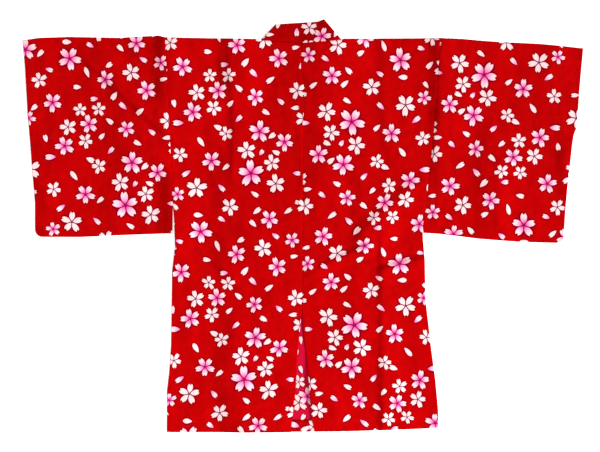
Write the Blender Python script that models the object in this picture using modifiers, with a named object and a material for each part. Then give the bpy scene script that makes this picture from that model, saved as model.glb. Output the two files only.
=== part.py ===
"""Short cotton kimono laid flat, face down, so that its back is on top.

Metres, +Z up, +Y towards the neck, +X to the wearer's right. The origin is on the surface the
kimono lies on, in the middle of its outline. The front lies on that surface and the back lies
on the front. Every piece is a grid of cloth, bent over its folds by a function and made a wall
by Solidify. The fronts overlap in the middle: the left one is the outer one, so it is lowest.
"""

import math
from collections import namedtuple

import bmesh
import bpy
import numpy as np
from mathutils import Vector

# Cloth and how it lies: LEVEL is the step from one layer up to the next. The overlapping fronts
# lie flat out to LAP_FLAT from the middle, and the cloth over them comes down within LAP_RAMP.
CLOTH = 0.0012
BAND_CLOTH = 0.0016
SEAM_GAP = 0.0003
LEVEL = 0.0022
LAP_FLAT = 0.130
LAP_RAMP = 0.040

# The cut: the overlap panel's point is where its top, the front's edge and the neck band meet
CUFF_OPENING = 0.206
SLEEVE_CORNER = 0.017
SIDE_SEAM_TOP = -0.045
OVERLAP_EDGE = 0.077
OVERLAP_SEAM = 0.0738
POINT_Y = 0.213
POINT_X = 0.078
BAND_END_Y = -0.160
BAND_WIDTH = 0.048
LEFT_NECK = 0.101
RIGHT_NECK = 0.0934

# Where two layers are sewn edge to edge, the wall's outside lies this far out from its middle:
# half the cloth, and the little more that the slanted faces of the seam take
RIM_WALL = CLOTH * 0.7

# How finely the cloth is divided
SEWN_ROWS = 8
CUFF_ROWS = 7
LOW_BODY_ROWS = 10
HIGH_BODY_ROWS = 10
BAND_ACROSS = 3
BAND_BACK_ROWS = 10
BAND_NECK_ROWS = 4
BAND_FRONT_ROWS = 7
BACK_MIDDLE_ACROSS = 3
OVERLAP_ACROSS = 3
OVERLAP_ROWS = 12
CORNER_ANGLES = (0, 30, 60, 90)
FOLD_ANGLES = (-30, 30)
SHARP_ANGLE = 40
WELD = 0.00001

# An outline across the kimono: height y at each x. An outline up it: x at each height y.
Across = namedtuple("Across", "x y")
Up = namedtuple("Up", "y x")
Armhole = namedtuple("Armhole", "foot_y foot_x top_y top_x bow")
Crease = namedtuple("Crease", "start end height width")
Half = namedtuple("Half", "hand side armhole shoulder vent stations neck band_foot")
Sleeve = namedtuple("Sleeve", "hand top foot inside armhole outside")
BandEnd = namedtuple("BandEnd", "foot top front_z")

LEFT_SHOULDER = (Across(-0.330, 0.4505), Across(-0.240, 0.4490), Across(-0.102, 0.4468))
RIGHT_SHOULDER = (Across(0.096, 0.4470), Across(0.200, 0.4485), Across(0.328, 0.4492))
HEM = (
    Across(-0.326, -0.4956),
    Across(-0.150, -0.4956),
    Across(0.090, -0.4938),
    Across(0.187, -0.4910),
    Across(0.324, -0.4856),
)
LEFT_ARMHOLE = Armhole(foot_y=0.053, foot_x=-0.3120, top_y=0.4505, top_x=-0.3300, bow=0.0)
RIGHT_ARMHOLE = Armhole(foot_y=-0.002, foot_x=0.2872, top_y=0.4492, top_x=0.3285, bow=0.0055)
LEFT_SIDE = (
    Up(-0.4956, -0.3265),
    Up(-0.396, -0.3262),
    Up(-0.348, -0.3205),
    Up(-0.288, -0.3165),
    Up(-0.108, -0.3138),
    Up(-0.048, -0.3065),
    Up(0.016, -0.3090),
    Up(0.053, -0.3120),
)
RIGHT_SIDE = (
    Up(-0.4856, 0.3245),
    Up(-0.444, 0.3240),
    Up(-0.372, 0.3175),
    Up(-0.300, 0.3080),
    Up(-0.180, 0.2943),
    Up(-0.084, 0.2920),
    Up(-0.036, 0.2882),
    Up(-0.002, 0.2872),
)

# Middle of the back: a seam above, two free edges below it
VENT_LEFT = (
    Up(-0.4950, -0.0288),
    Up(-0.432, -0.0230),
    Up(-0.398, -0.0173),
    Up(-0.317, -0.0139),
    Up(-0.254, -0.0082),
    Up(-0.197, -0.0024),
    Up(0.437, 0.0024),
)
VENT_RIGHT = (
    Up(-0.4940, 0.0276),
    Up(-0.463, 0.0206),
    Up(-0.375, 0.0137),
    Up(-0.294, 0.0058),
    Up(-0.254, 0.0000),
    Up(-0.197, -0.0024),
    Up(0.437, 0.0024),
)
BACK_NECK = (Across(-0.101, 0.4440), Across(0.0024, 0.4375), Across(0.0934, 0.4440))

LEFT_SLEEVE_TOP = (
    Across(-0.6720, 0.4440),
    Across(-0.630, 0.4502),
    Across(-0.558, 0.4524),
    Across(-0.438, 0.4500),
    Across(-0.346, 0.4550),
    Across(-0.3300, 0.4505),
)
LEFT_SLEEVE_FOOT = (
    Across(-0.643, -0.0276),
    Across(-0.534, -0.0280),
    Across(-0.438, -0.0235),
    Across(-0.313, -0.0190),
)
LEFT_SLEEVE_INSIDE = (Up(-0.0190, -0.3130), Up(0.053, -0.3120))
LEFT_SLEEVE_OUTSIDE = (
    Up(-0.0276, -0.643),
    Up(0.036, -0.643),
    Up(0.132, -0.6505),
    Up(0.252, -0.6600),
    Up(0.372, -0.6665),
    Up(0.4440, -0.6720),
)
RIGHT_SLEEVE_TOP = (
    Across(0.3285, 0.4492),
    Across(0.378, 0.4476),
    Across(0.450, 0.4415),
    Across(0.570, 0.4356),
    Across(0.618, 0.4308),
    Across(0.6720, 0.4250),
)
RIGHT_SLEEVE_FOOT = (
    Across(0.289, -0.0180),
    Across(0.330, -0.0205),
    Across(0.426, -0.0324),
    Across(0.522, -0.0396),
    Across(0.625, -0.0425),
)
RIGHT_SLEEVE_INSIDE = (Up(-0.0180, 0.2888), Up(-0.002, 0.2872))
RIGHT_SLEEVE_OUTSIDE = (
    Up(-0.0425, 0.626),
    Up(0.012, 0.6294),
    Up(0.084, 0.6350),
    Up(0.180, 0.6455),
    Up(0.206, 0.6490),
    Up(0.226, 0.6560),
    Up(0.312, 0.6625),
    Up(0.4250, 0.6720),
)

# The standing part of the neck band, from its left end to its right end
BAND_TOP = (
    Across(-0.0632, 0.4822),
    Across(-0.0360, 0.4840),
    Across(0.0048, 0.4864),
    Across(0.0360, 0.4878),
    Across(0.0499, 0.4942),
)
BAND_LEFT_FOOT = 0.0985
BAND_RIGHT_FOOT = 0.0905
BAND_TURN_WIDTH = 0.042
BAND_SAG = 0.0016

# Where the grid lines of the body run, measured out from the middle of the back, and those of a
# sleeve, as shares of the way out from the armhole to the round corner
LEFT_STATIONS = (0.290, 0.262, 0.238, 0.216, 0.194, 0.180, 0.170, 0.160, 0.145, 0.130)
RIGHT_STATIONS = (0.282, 0.258, 0.234, 0.213, 0.200, 0.189, 0.179, 0.170, 0.150, 0.130)
SLEEVE_SHARES = (0, 0.04, 0.12, 0.21, 0.30, 0.39, 0.48, 0.57, 0.66, 0.75, 0.84, 0.93)

# The four shapes that the picture shows: hand is -1 on the left and 1 on the right
LEFT_HALF = Half(
    -1, LEFT_SIDE, LEFT_ARMHOLE, LEFT_SHOULDER, VENT_LEFT, LEFT_STATIONS, LEFT_NECK, BAND_LEFT_FOOT
)
RIGHT_HALF = Half(
    1, RIGHT_SIDE, RIGHT_ARMHOLE, RIGHT_SHOULDER, VENT_RIGHT, RIGHT_STATIONS, RIGHT_NECK, BAND_RIGHT_FOOT
)
LEFT_SLEEVE = Sleeve(
    -1, LEFT_SLEEVE_TOP, LEFT_SLEEVE_FOOT, LEFT_SLEEVE_INSIDE, LEFT_ARMHOLE, LEFT_SLEEVE_OUTSIDE
)
RIGHT_SLEEVE = Sleeve(
    1, RIGHT_SLEEVE_TOP, RIGHT_SLEEVE_FOOT, RIGHT_SLEEVE_INSIDE, RIGHT_ARMHOLE, RIGHT_SLEEVE_OUTSIDE
)

# The largest folds of the upper cloth, as low ridges
CREASES = (
    Crease((-0.164, 0.430), (-0.158, -0.020), 0.0020, 0.028),
    Crease((0.192, 0.430), (0.186, -0.460), 0.0022, 0.024),
    Crease((0.275, 0.108), (0.138, -0.012), 0.0012, 0.040),
    Crease((0.289, -0.072), (0.150, -0.080), 0.0010, 0.040),
    Crease((-0.570, 0.425), (-0.335, 0.200), 0.0022, 0.042),
    Crease((0.560, 0.140), (0.420, -0.010), 0.0014, 0.050),
)

RED_COTTON = (0.58, 0.004, 0.008, 1.0)


def height_at(outline, x):
    """Height y of an Across outline at x."""
    return float(np.interp(x, [point.x for point in outline], [point.y for point in outline]))


def x_at(outline, y):
    """Place x of an Up outline at height y."""
    return float(np.interp(y, [point.y for point in outline], [point.x for point in outline]))


def mix(first, last, share):
    """The value that lies this share of the way from first to last."""
    return first + (last - first) * share


def edge_x(outline, armhole, y):
    """Side edge of the body or inner edge of a sleeve: the armhole seam above, its own line below."""
    if y < armhole.foot_y:
        return x_at(outline, y)
    share = (y - armhole.foot_y) / (armhole.top_y - armhole.foot_y)
    return mix(armhole.foot_x, armhole.top_x, share) + armhole.bow * math.sin(math.pi * min(1.0, share))


def crease_height(x, y):
    """Rise of the upper cloth over its largest folds, falling off across and past both ends."""
    rise = 0.0
    for crease in CREASES:
        start = Vector(crease.start)
        run = Vector(crease.end) - start
        share = (Vector((x, y)) - start).dot(run) / run.length_squared
        nearest = start + run * min(1.0, max(0.0, share))
        away = (Vector((x, y)) - nearest).length / crease.width
        if away < 1.0:
            rise += crease.height * (0.5 + 0.5 * math.cos(math.pi * away))
    return rise


def lap_share(x):
    """1 in the middle, where three layers of cloth lie, and 0 at the sides, where two lie."""
    return min(1.0, max(0.0, (LAP_FLAT + LAP_RAMP - abs(x)) / LAP_RAMP))


def left_front_z(x):
    """The left front lies flat on the surface at every x."""
    return CLOTH / 2


def right_front_z(x):
    """The right front lies over the left one, and comes down to the surface at its side."""
    share = lap_share(x) if x > 0 else 1.0
    return CLOTH / 2 + LEVEL * share


def back_z(x, y):
    """The back lies on both fronts."""
    return CLOTH / 2 + LEVEL * (1 + lap_share(x)) + crease_height(x, y)


def sleeve_over_z(x, y):
    """The sleeve's upper cloth lies on its lower cloth."""
    return CLOTH / 2 + LEVEL + crease_height(x, y)


def keep_all(column, row):
    """For a panel that uses every cell of its grid."""
    return True


def cloth_grid(columns, rows, place, keep=keep_all):
    """Grid of cells with each point put by place(column, row) and only the cells of keep."""
    cloth = bmesh.new()
    bmesh.ops.create_grid(cloth, x_segments=columns, y_segments=rows, size=0.5)
    dropped = []
    for face in cloth.faces:
        middle = face.calc_center_median()
        column = int((middle.x + 0.5) * columns)
        row = int((middle.y + 0.5) * rows)
        if not keep(column, row):
            dropped.append(face)
    bmesh.ops.delete(cloth, geom=dropped, context="FACES")
    for point in cloth.verts:
        column = round((point.co.x + 0.5) * columns)
        row = round((point.co.y + 0.5) * rows)
        point.co = place(column, row)
    bmesh.ops.remove_doubles(cloth, verts=cloth.verts, dist=WELD)
    bmesh.ops.recalc_face_normals(cloth, faces=cloth.faces)
    return cloth


def cotton(name):
    """Matte red cotton."""
    material = bpy.data.materials.new(name)
    material.use_nodes = True
    shader = material.node_tree.nodes["Principled BSDF"]
    shader.inputs["Base Color"].default_value = RED_COTTON
    shader.inputs["Roughness"].default_value = 0.85
    shader.inputs["Metallic"].default_value = 0.0
    return material


def finish_wall(name, cloth, thickness, collection):
    """Turns an open sheet of cloth into one closed wall."""
    mesh = bpy.data.meshes.new(name)
    cloth.to_mesh(mesh)
    cloth.free()
    mesh.materials.append(cotton(name))
    mesh.shade_smooth()
    mesh.set_sharp_from_angle(angle=math.radians(SHARP_ANGLE))
    wall = bpy.data.objects.new(name, mesh)
    collection.objects.link(wall)
    thicken = wall.modifiers.new("Wall", "SOLIDIFY")
    thicken.thickness = thickness
    thicken.offset = 0.0
    thicken.use_even_offset = True
    thicken.use_rim = True
    return wall


def shares_in_two(joint, low_steps, high_steps):
    """Shares from 0 to 1 with a step exactly at the joint."""
    low = [joint * step / low_steps for step in range(low_steps)]
    high = [mix(joint, 1.0, step / high_steps) for step in range(high_steps + 1)]
    return low + high


def front_edge(half, y):
    """Inner edge of a front, out from the middle: along the neck band, then the overlap panel."""
    if y > POINT_Y:
        top = height_at(BACK_NECK, half.band_foot)
        edge = mix(POINT_X, half.band_foot, (y - POINT_Y) / (top - POINT_Y))
    else:
        foot = height_at(HEM, 0.0)
        edge = mix(OVERLAP_SEAM, POINT_X, (y - foot) / (POINT_Y - foot))
    return edge + SEAM_GAP


def build_body(name, half, front_z, collection):
    """One half of the body.

    The grid runs from the front hem up to the shoulder, over it and down to the back hem. Its
    first columns are the side edge, and its last ones are the back beside the neck, which has
    no front. Below the side opening the front and the back are sewn: their edges meet.
    """
    hand = half.hand
    side_foot = height_at(HEM, half.armhole.foot_x)
    side_top = height_at(half.shoulder, half.armhole.top_x) - (CLOTH + LEVEL) / 2
    middle_foot = height_at(HEM, 0.0)
    middle_top = height_at(BACK_NECK, 0.0)
    joint = (SIDE_SEAM_TOP - side_foot) / (side_top - side_foot)
    shares = shares_in_two(joint, LOW_BODY_ROWS, HIGH_BODY_ROWS)
    layers = [("front", share) for share in shares]
    layers += [("fold", angle) for angle in FOLD_ANGLES]
    layers += [("back", share) for share in reversed(shares)]
    neck_column = 2 + len(half.stations)
    fixed = LAP_FLAT + LAP_RAMP
    shoulder_reach = abs(half.armhole.top_x) - fixed

    def column_x(column, layer, share):
        edge = edge_x(half.side, half.armhole, mix(side_foot, side_top, share)) - hand * SEAM_GAP / 2
        if column == 0:
            return edge - hand * (RIM_WALL if share <= joint else 0.0)
        if column == 1:
            return edge - hand * (RIM_WALL + LEVEL / 2)
        if column < neck_column:
            station = half.stations[column - 2]
            stretch = (abs(edge) - fixed) / shoulder_reach
            return hand * (fixed + (station - fixed) * (stretch if station > fixed else 1.0))
        if column > neck_column:
            middle = x_at(half.vent, mix(middle_foot, middle_top, share)) + hand * SEAM_GAP / 2
            return mix(hand * half.neck, middle, (column - neck_column) / BACK_MIDDLE_ACROSS)
        if layer == "front" and share < 1:
            return hand * front_edge(half, mix(middle_foot, middle_top, share))
        return hand * half.neck

    def place(column, row):
        layer, value = layers[row]
        share = 1.0 if layer == "fold" else value
        x = column_x(column, layer, share)
        radius = (back_z(x, side_top) - front_z(x)) / 2
        if column >= neck_column:
            top = height_at(BACK_NECK, x)
        else:
            top = height_at(half.shoulder, x) - CLOTH / 2 - radius
        if layer == "fold":
            turn = math.radians(value)
            return (x, top + radius * math.cos(turn), front_z(x) + radius * (1 + math.sin(turn)))
        y = mix(height_at(HEM, x), top, share)
        if column == 0 and share <= joint:
            return (x, y, (front_z(x) + back_z(x, y)) / 2)
        return (x, y, front_z(x) if layer == "front" else back_z(x, y))

    def keep(column, row):
        return column < neck_column or layers[row][0] == "back"

    cloth = cloth_grid(neck_column + BACK_MIDDLE_ACROSS, len(layers) - 1, place, keep)
    return finish_wall(name, cloth, CLOTH, collection)


def build_sleeve(name, sleeve, collection):
    """One sleeve.

    The grid runs from the bottom seam along the lower cloth, over the top fold and back along
    the upper cloth. Below the cuff the outer edge is sewn shut round the corner.
    """
    hand, top, foot, inside, armhole, outside = sleeve
    radius = LEVEL / 2
    rim = radius + RIM_WALL
    outer, inner = (0, -1) if hand < 0 else (-1, 0)
    outer_foot, outer_top = foot[outer].y, top[outer].y
    inner_foot, inner_top = foot[inner].y + rim, top[inner].y - CLOTH / 2 - radius
    shares = shares_in_two(1 - CUFF_OPENING / (outer_top - outer_foot), SEWN_ROWS, CUFF_ROWS)
    joint = shares[SEWN_ROWS]
    layers = [("seam", 0.0)]
    layers += [("under", share) for share in shares]
    layers += [("fold", angle) for angle in FOLD_ANGLES]
    layers += [("over", share) for share in reversed(shares)]
    layers += [("seam", 0.0)]
    straight = len(SLEEVE_SHARES)
    last = straight + len(CORNER_ANGLES)

    def corner_turn(column):
        """How far round the corner this column's bottom end lies."""
        step = min(column, last - 1) - straight
        return math.radians(CORNER_ANGLES[step]) if step >= 0 else 0.0

    def flat_point(column, share):
        """Point of the flat cloth, inside the sewn rim."""
        inner_x = edge_x(inside, armhole, mix(inner_foot, inner_top, share)) + hand * SEAM_GAP / 2
        outer_x = x_at(outside, mix(outer_foot, outer_top, share)) - hand * rim
        before_corner = outer_x - hand * SLEEVE_CORNER
        if column < straight:
            x = mix(inner_x, before_corner, SLEEVE_SHARES[column])
        else:
            x = mix(before_corner, outer_x, math.sin(corner_turn(column)))
        low = height_at(foot, x) + rim + SLEEVE_CORNER * (1 - math.cos(corner_turn(column)))
        high = height_at(top, x) - CLOTH / 2 - radius
        return x, mix(low, high, share)

    def place(column, row):
        layer, value = layers[row]
        share = 1.0 if layer == "fold" else value
        x, y = flat_point(min(column, last - 1), share)
        middle = CLOTH / 2 + radius
        if layer == "seam":
            turn = corner_turn(column)
            return (x + hand * radius * math.sin(turn), y - radius * math.cos(turn), middle)
        if column == last and layer != "fold" and share <= joint:
            return (x + hand * radius, y, middle)
        if column == last:
            x += hand * rim
        if layer == "fold":
            turn = math.radians(value)
            return (x, y + radius * math.cos(turn), middle + radius * math.sin(turn))
        return (x, y, CLOTH / 2 if layer == "under" else sleeve_over_z(x, y))

    def keep(column, row):
        at_seam = row in (0, len(layers) - 2)
        return not (at_seam and column == last - 1)

    cloth = cloth_grid(last, len(layers) - 1, place, keep)
    return finish_wall(name, cloth, CLOTH, collection)


def build_overlap(name, half, cloth_z, collection):
    """Overlap panel: from the front's edge to past the middle, its top cut along the neck band."""

    def place(column, row):
        across = column / OVERLAP_ACROSS
        share = row / OVERLAP_ROWS
        guess = mix(height_at(HEM, 0.0), mix(POINT_Y, BAND_END_Y, across), share)
        inner = front_edge(half, min(guess, POINT_Y)) - SEAM_GAP
        distance = mix(inner, -OVERLAP_EDGE, across)
        along_band = (POINT_X - distance) / (POINT_X + OVERLAP_EDGE)
        top = mix(POINT_Y, BAND_END_Y, along_band) - SEAM_GAP * 2
        x = half.hand * distance
        y = mix(height_at(HEM, x), top, share)
        return (x, y, cloth_z(x))

    cloth = cloth_grid(OVERLAP_ACROSS, OVERLAP_ROWS, place)
    return finish_wall(name, cloth, CLOTH, collection)


def build_band(name, collection):
    """Neck band in one length: up the left front, round the back of the neck, down the right.

    At the back it stands up past the shoulders. At both slanted ends it turns over and runs
    down along the front's edge and the overlap panel's top.
    """

    def band_end(foot_x, corner, front_z):
        foot = Vector((foot_x, height_at(BACK_NECK, foot_x) + SEAM_GAP))
        return BandEnd(foot, Vector((corner.x, corner.y)), front_z)

    ends = {
        -1: band_end(-BAND_LEFT_FOOT, BAND_TOP[0], BAND_CLOTH / 2),
        1: band_end(BAND_RIGHT_FOOT, BAND_TOP[-1], BAND_CLOTH / 2 + LEVEL),
    }
    seam_z = BAND_CLOTH / 2 + 2 * LEVEL

    def standing(share, across):
        """Back part: share runs from the left end to the right end."""
        low = ends[-1].foot.lerp(ends[1].foot, share)
        low.y = height_at(BACK_NECK, low.x) + SEAM_GAP
        high = ends[-1].top.lerp(ends[1].top, share)
        high.y = height_at(BAND_TOP, high.x)
        point = low.lerp(high, across)
        return (point.x, point.y, seam_z - BAND_SAG * across)

    def turning(hand, angle, across):
        """Slanted end, where the band turns over to the front."""
        end = ends[hand]
        radius = (seam_z - BAND_SAG * across - end.front_z) / 2
        slant = (end.top - end.foot).normalized()
        outward = Vector((hand * slant.y, -hand * slant.x))
        turn = math.radians(angle)
        point = end.foot.lerp(end.top, across) + outward * radius * math.cos(turn)
        return (point.x, point.y, end.front_z + radius * (1 + math.sin(turn)))

    def hanging(hand, row, across):
        """Front part: row counts from the slanted end down."""
        end = ends[hand]
        point = Vector((hand * POINT_X, POINT_Y))
        finish = Vector((-hand * OVERLAP_EDGE, BAND_END_Y))
        along_neck = (point - end.foot).normalized()
        along_front = (finish - point).normalized()
        if row == 0:
            start = end.foot.lerp(end.top, across)
            return (start.x, start.y, end.front_z)
        if row < BAND_NECK_ROWS:
            seam = end.foot.lerp(point, row / BAND_NECK_ROWS)
            along = along_neck
        else:
            seam = point.lerp(finish, (row - BAND_NECK_ROWS) / BAND_FRONT_ROWS)
            along = along_front if row > BAND_NECK_ROWS else (along_neck + along_front).normalized()
        inward = Vector((hand * along.y, -hand * along.x))
        width = mix(BAND_TURN_WIDTH, BAND_WIDTH, min(1.0, row / BAND_NECK_ROWS))
        spot = seam + inward * (width * across + SEAM_GAP)
        return (spot.x, spot.y, end.front_z)

    front_rows = BAND_NECK_ROWS + BAND_FRONT_ROWS
    sections = [("left front", row) for row in range(front_rows, -1, -1)]
    sections += [("left turn", angle) for angle in FOLD_ANGLES]
    sections += [("back", step / BAND_BACK_ROWS) for step in range(BAND_BACK_ROWS + 1)]
    sections += [("right turn", angle) for angle in reversed(FOLD_ANGLES)]
    sections += [("right front", row) for row in range(front_rows + 1)]

    def place(column, row):
        across = column / BAND_ACROSS
        part, value = sections[row]
        if part == "back":
            return standing(value, across)
        hand = -1 if part.startswith("left") else 1
        if part.endswith("turn"):
            return turning(hand, value, across)
        return hanging(hand, value, across)

    cloth = cloth_grid(BAND_ACROSS, len(sections) - 1, place)
    return finish_wall(name, cloth, BAND_CLOTH, collection)


def main():
    for thing in list(bpy.data.objects):
        bpy.data.objects.remove(thing, do_unlink=True)
    kimono = bpy.data.collections.new("kimono")
    bpy.context.scene.collection.children.link(kimono)
    build_body("body_left", LEFT_HALF, left_front_z, kimono)
    build_body("body_right", RIGHT_HALF, right_front_z, kimono)
    build_sleeve("sleeve_left", LEFT_SLEEVE, kimono)
    build_sleeve("sleeve_right", RIGHT_SLEEVE, kimono)
    build_overlap("okumi_left", LEFT_HALF, left_front_z, kimono)
    build_overlap("okumi_right", RIGHT_HALF, right_front_z, kimono)
    build_band("collar", kimono)


main()
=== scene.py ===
import math
from bisect import bisect_right
from collections import namedtuple

import bmesh
import bpy
import numpy as np
from mathutils import Euler, Matrix, Vector, noise


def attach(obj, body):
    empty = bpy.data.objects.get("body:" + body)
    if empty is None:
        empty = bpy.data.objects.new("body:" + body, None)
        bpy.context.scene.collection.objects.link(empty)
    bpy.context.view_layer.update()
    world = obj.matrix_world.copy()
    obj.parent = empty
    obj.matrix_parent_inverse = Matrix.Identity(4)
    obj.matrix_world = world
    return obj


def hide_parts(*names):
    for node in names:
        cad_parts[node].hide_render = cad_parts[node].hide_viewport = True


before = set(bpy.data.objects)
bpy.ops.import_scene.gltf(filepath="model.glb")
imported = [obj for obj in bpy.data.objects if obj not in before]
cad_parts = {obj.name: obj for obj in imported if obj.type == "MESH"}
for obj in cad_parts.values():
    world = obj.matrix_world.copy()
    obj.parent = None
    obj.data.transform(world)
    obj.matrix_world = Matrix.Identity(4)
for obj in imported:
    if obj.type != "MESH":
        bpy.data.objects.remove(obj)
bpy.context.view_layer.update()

# %% [markdown]
# # A short kimono of red printed cotton, laid flat
# The kimono lies face down, so its back is on top. It is cut from straight lengths of cloth
# about 36 cm wide: two body lengths that run over the shoulders, two sleeves, two overlap
# panels on the fronts and one long neck band. Each of them is one piece here. The CAD model
# says where they lie.

# %% [markdown]
# ## The camera
# The kimono is seen from straight above, from far enough away that its layers of cloth show
# no perspective. A long lens (85 mm) at 3.4 m sees 1.44 m across. Looking straight down needs
# no turn at all: an unturned camera looks along -Z with +Y up in the picture.

# %% Camera
PICTURE_CENTRE = (-0.0072, -0.0012)
CAMERA_HEIGHT = 3.4
LENS = 85
SENSOR = 36

camera_data = bpy.data.cameras.new("camera_above")
camera_data.lens = LENS
camera_data.sensor_width = SENSOR
camera_data.clip_end = 50
camera = bpy.data.objects.new("camera_above", camera_data)
camera.location = (*PICTURE_CENTRE, CAMERA_HEIGHT)
bpy.context.scene.collection.objects.link(camera)
bpy.context.scene.camera = camera
print("The camera sees", round(CAMERA_HEIGHT * SENSOR / LENS, 3), "m across")

# %% [markdown]
# ## The floor and the light
# The floor is plain and pale, and glows a little like a light table, so that shadows on it stay
# faint. A soft sun low on the right draws each crease with a bright and a dark side, a wide lamp
# beyond the hem lights the creases that run across, and a white sky fills in evenly. The
# Standard view keeps the red as pure as the dye is.

# %% Floor and light
FLOOR_HALF = 15
FLOOR_Z = -0.0002
FLOOR_COLOUR = (0.86, 0.86, 0.86, 1)
FLOOR_GLOW = 0.7
WHITE = (1, 1, 1, 1)
FILL = 0.31

scene = bpy.context.scene
scene.view_settings.view_transform = "Standard"


def plain_floor():
    """A wide square of pale matte paint that glows a little."""
    grid = bmesh.new()
    bmesh.ops.create_grid(grid, x_segments=1, y_segments=1, size=FLOOR_HALF)
    mesh = bpy.data.meshes.new("floor")
    grid.to_mesh(mesh)
    grid.free()
    paint = bpy.data.materials.new("floor_paint")
    paint.use_nodes = True
    shader = paint.node_tree.nodes["Principled BSDF"]
    shader.inputs["Base Color"].default_value = FLOOR_COLOUR
    shader.inputs["Roughness"].default_value = 0.9
    shader.inputs["Emission Color"].default_value = WHITE
    shader.inputs["Emission Strength"].default_value = FLOOR_GLOW
    mesh.materials.append(paint)
    floor = bpy.data.objects.new("floor", mesh)
    floor.location = (0, 0, FLOOR_Z)
    scene.collection.objects.link(floor)


def lamp(name, kind, place, energy):
    """A lamp at this place, turned towards the middle of the kimono."""
    light = bpy.data.lights.new(name, kind)
    light.energy = energy
    holder = bpy.data.objects.new(name, light)
    holder.location = place
    holder.rotation_euler = holder.location.to_track_quat("Z", "Y").to_euler()
    scene.collection.objects.link(holder)
    return light


plain_floor()
key = lamp("key_light", "SUN", (2.7, -0.1, 1.2), 6.5)
key.angle = math.radians(14)
low = lamp("hem_light", "AREA", (0.4, -3.1, 1.6), 100)
low.size = 1.2
world = bpy.data.worlds.new("studio")
world.use_nodes = True
world.node_tree.nodes["Background"].inputs["Color"].default_value = WHITE
world.node_tree.nodes["Background"].inputs["Strength"].default_value = FILL
scene.world = world
print("A floor, a sun, a lamp beyond the hem and an even fill")

# %% [markdown]
# ## The cut
# These are the outlines that a maker would chalk, in metres, with +Y towards the neck. They
# are the CAD model's own, so that each cloth lies where its solid is. Only the middle seam
# bends a little near the neck, further on. An outline is either heights y at places x, or
# places x at heights y, with straight lines between them.

# %% Outlines
Across = namedtuple("Across", "x y")
Up = namedtuple("Up", "y x")
Armhole = namedtuple("Armhole", "foot_y foot_x top_y top_x bow")

LEFT_SHOULDER = (Across(-0.330, 0.4505), Across(-0.240, 0.4490), Across(-0.102, 0.4468))
RIGHT_SHOULDER = (Across(0.096, 0.4470), Across(0.200, 0.4485), Across(0.328, 0.4492))
HEM = (
    Across(-0.326, -0.4956),
    Across(-0.150, -0.4956),
    Across(0.090, -0.4938),
    Across(0.187, -0.4910),
    Across(0.324, -0.4856),
)
LEFT_ARMHOLE = Armhole(foot_y=0.053, foot_x=-0.3120, top_y=0.4505, top_x=-0.3300, bow=0.0)
RIGHT_ARMHOLE = Armhole(foot_y=-0.002, foot_x=0.2872, top_y=0.4492, top_x=0.3285, bow=0.0055)
LEFT_SIDE = (
    Up(-0.4956, -0.3265),
    Up(-0.396, -0.3262),
    Up(-0.348, -0.3205),
    Up(-0.288, -0.3165),
    Up(-0.108, -0.3138),
    Up(-0.048, -0.3065),
    Up(0.016, -0.3090),
    Up(0.053, -0.3120),
)
RIGHT_SIDE = (
    Up(-0.4856, 0.3245),
    Up(-0.444, 0.3240),
    Up(-0.372, 0.3175),
    Up(-0.300, 0.3080),
    Up(-0.180, 0.2943),
    Up(-0.084, 0.2920),
    Up(-0.036, 0.2882),
    Up(-0.002, 0.2872),
)
VENT_LEFT = (
    Up(-0.4950, -0.0288),
    Up(-0.432, -0.0230),
    Up(-0.398, -0.0173),
    Up(-0.317, -0.0139),
    Up(-0.254, -0.0082),
    Up(-0.197, -0.0024),
    Up(0.437, 0.0024),
)
VENT_RIGHT = (
    Up(-0.4940, 0.0276),
    Up(-0.463, 0.0206),
    Up(-0.375, 0.0137),
    Up(-0.294, 0.0058),
    Up(-0.254, 0.0000),
    Up(-0.197, -0.0024),
    Up(0.437, 0.0024),
)
BACK_NECK = (Across(-0.101, 0.4440), Across(0.0024, 0.4375), Across(0.0934, 0.4440))
LEFT_SLEEVE_TOP = (
    Across(-0.6720, 0.4440),
    Across(-0.630, 0.4502),
    Across(-0.558, 0.4524),
    Across(-0.438, 0.4500),
    Across(-0.346, 0.4550),
    Across(-0.3300, 0.4505),
)
LEFT_SLEEVE_FOOT = (
    Across(-0.643, -0.0276),
    Across(-0.534, -0.0280),
    Across(-0.438, -0.0235),
    Across(-0.313, -0.0190),
)
LEFT_SLEEVE_INSIDE = (Up(-0.0190, -0.3130), Up(0.053, -0.3120))
LEFT_SLEEVE_OUTSIDE = (
    Up(-0.0276, -0.643),
    Up(0.036, -0.643),
    Up(0.132, -0.6505),
    Up(0.252, -0.6600),
    Up(0.372, -0.6665),
    Up(0.4440, -0.6720),
)
RIGHT_SLEEVE_TOP = (
    Across(0.3285, 0.4492),
    Across(0.378, 0.4476),
    Across(0.450, 0.4415),
    Across(0.570, 0.4356),
    Across(0.618, 0.4308),
    Across(0.6720, 0.4250),
)
RIGHT_SLEEVE_FOOT = (
    Across(0.289, -0.0180),
    Across(0.330, -0.0205),
    Across(0.426, -0.0324),
    Across(0.522, -0.0396),
    Across(0.625, -0.0425),
)
RIGHT_SLEEVE_INSIDE = (Up(-0.0180, 0.2888), Up(-0.002, 0.2872))
RIGHT_SLEEVE_OUTSIDE = (
    Up(-0.0425, 0.626),
    Up(0.012, 0.6294),
    Up(0.084, 0.6350),
    Up(0.180, 0.6455),
    Up(0.206, 0.6490),
    Up(0.226, 0.6560),
    Up(0.312, 0.6625),
    Up(0.4250, 0.6720),
)
BAND_TOP = (
    Across(-0.0632, 0.4822),
    Across(-0.0360, 0.4840),
    Across(0.0048, 0.4864),
    Across(0.0360, 0.4878),
    Across(0.0499, 0.4942),
)


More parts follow.
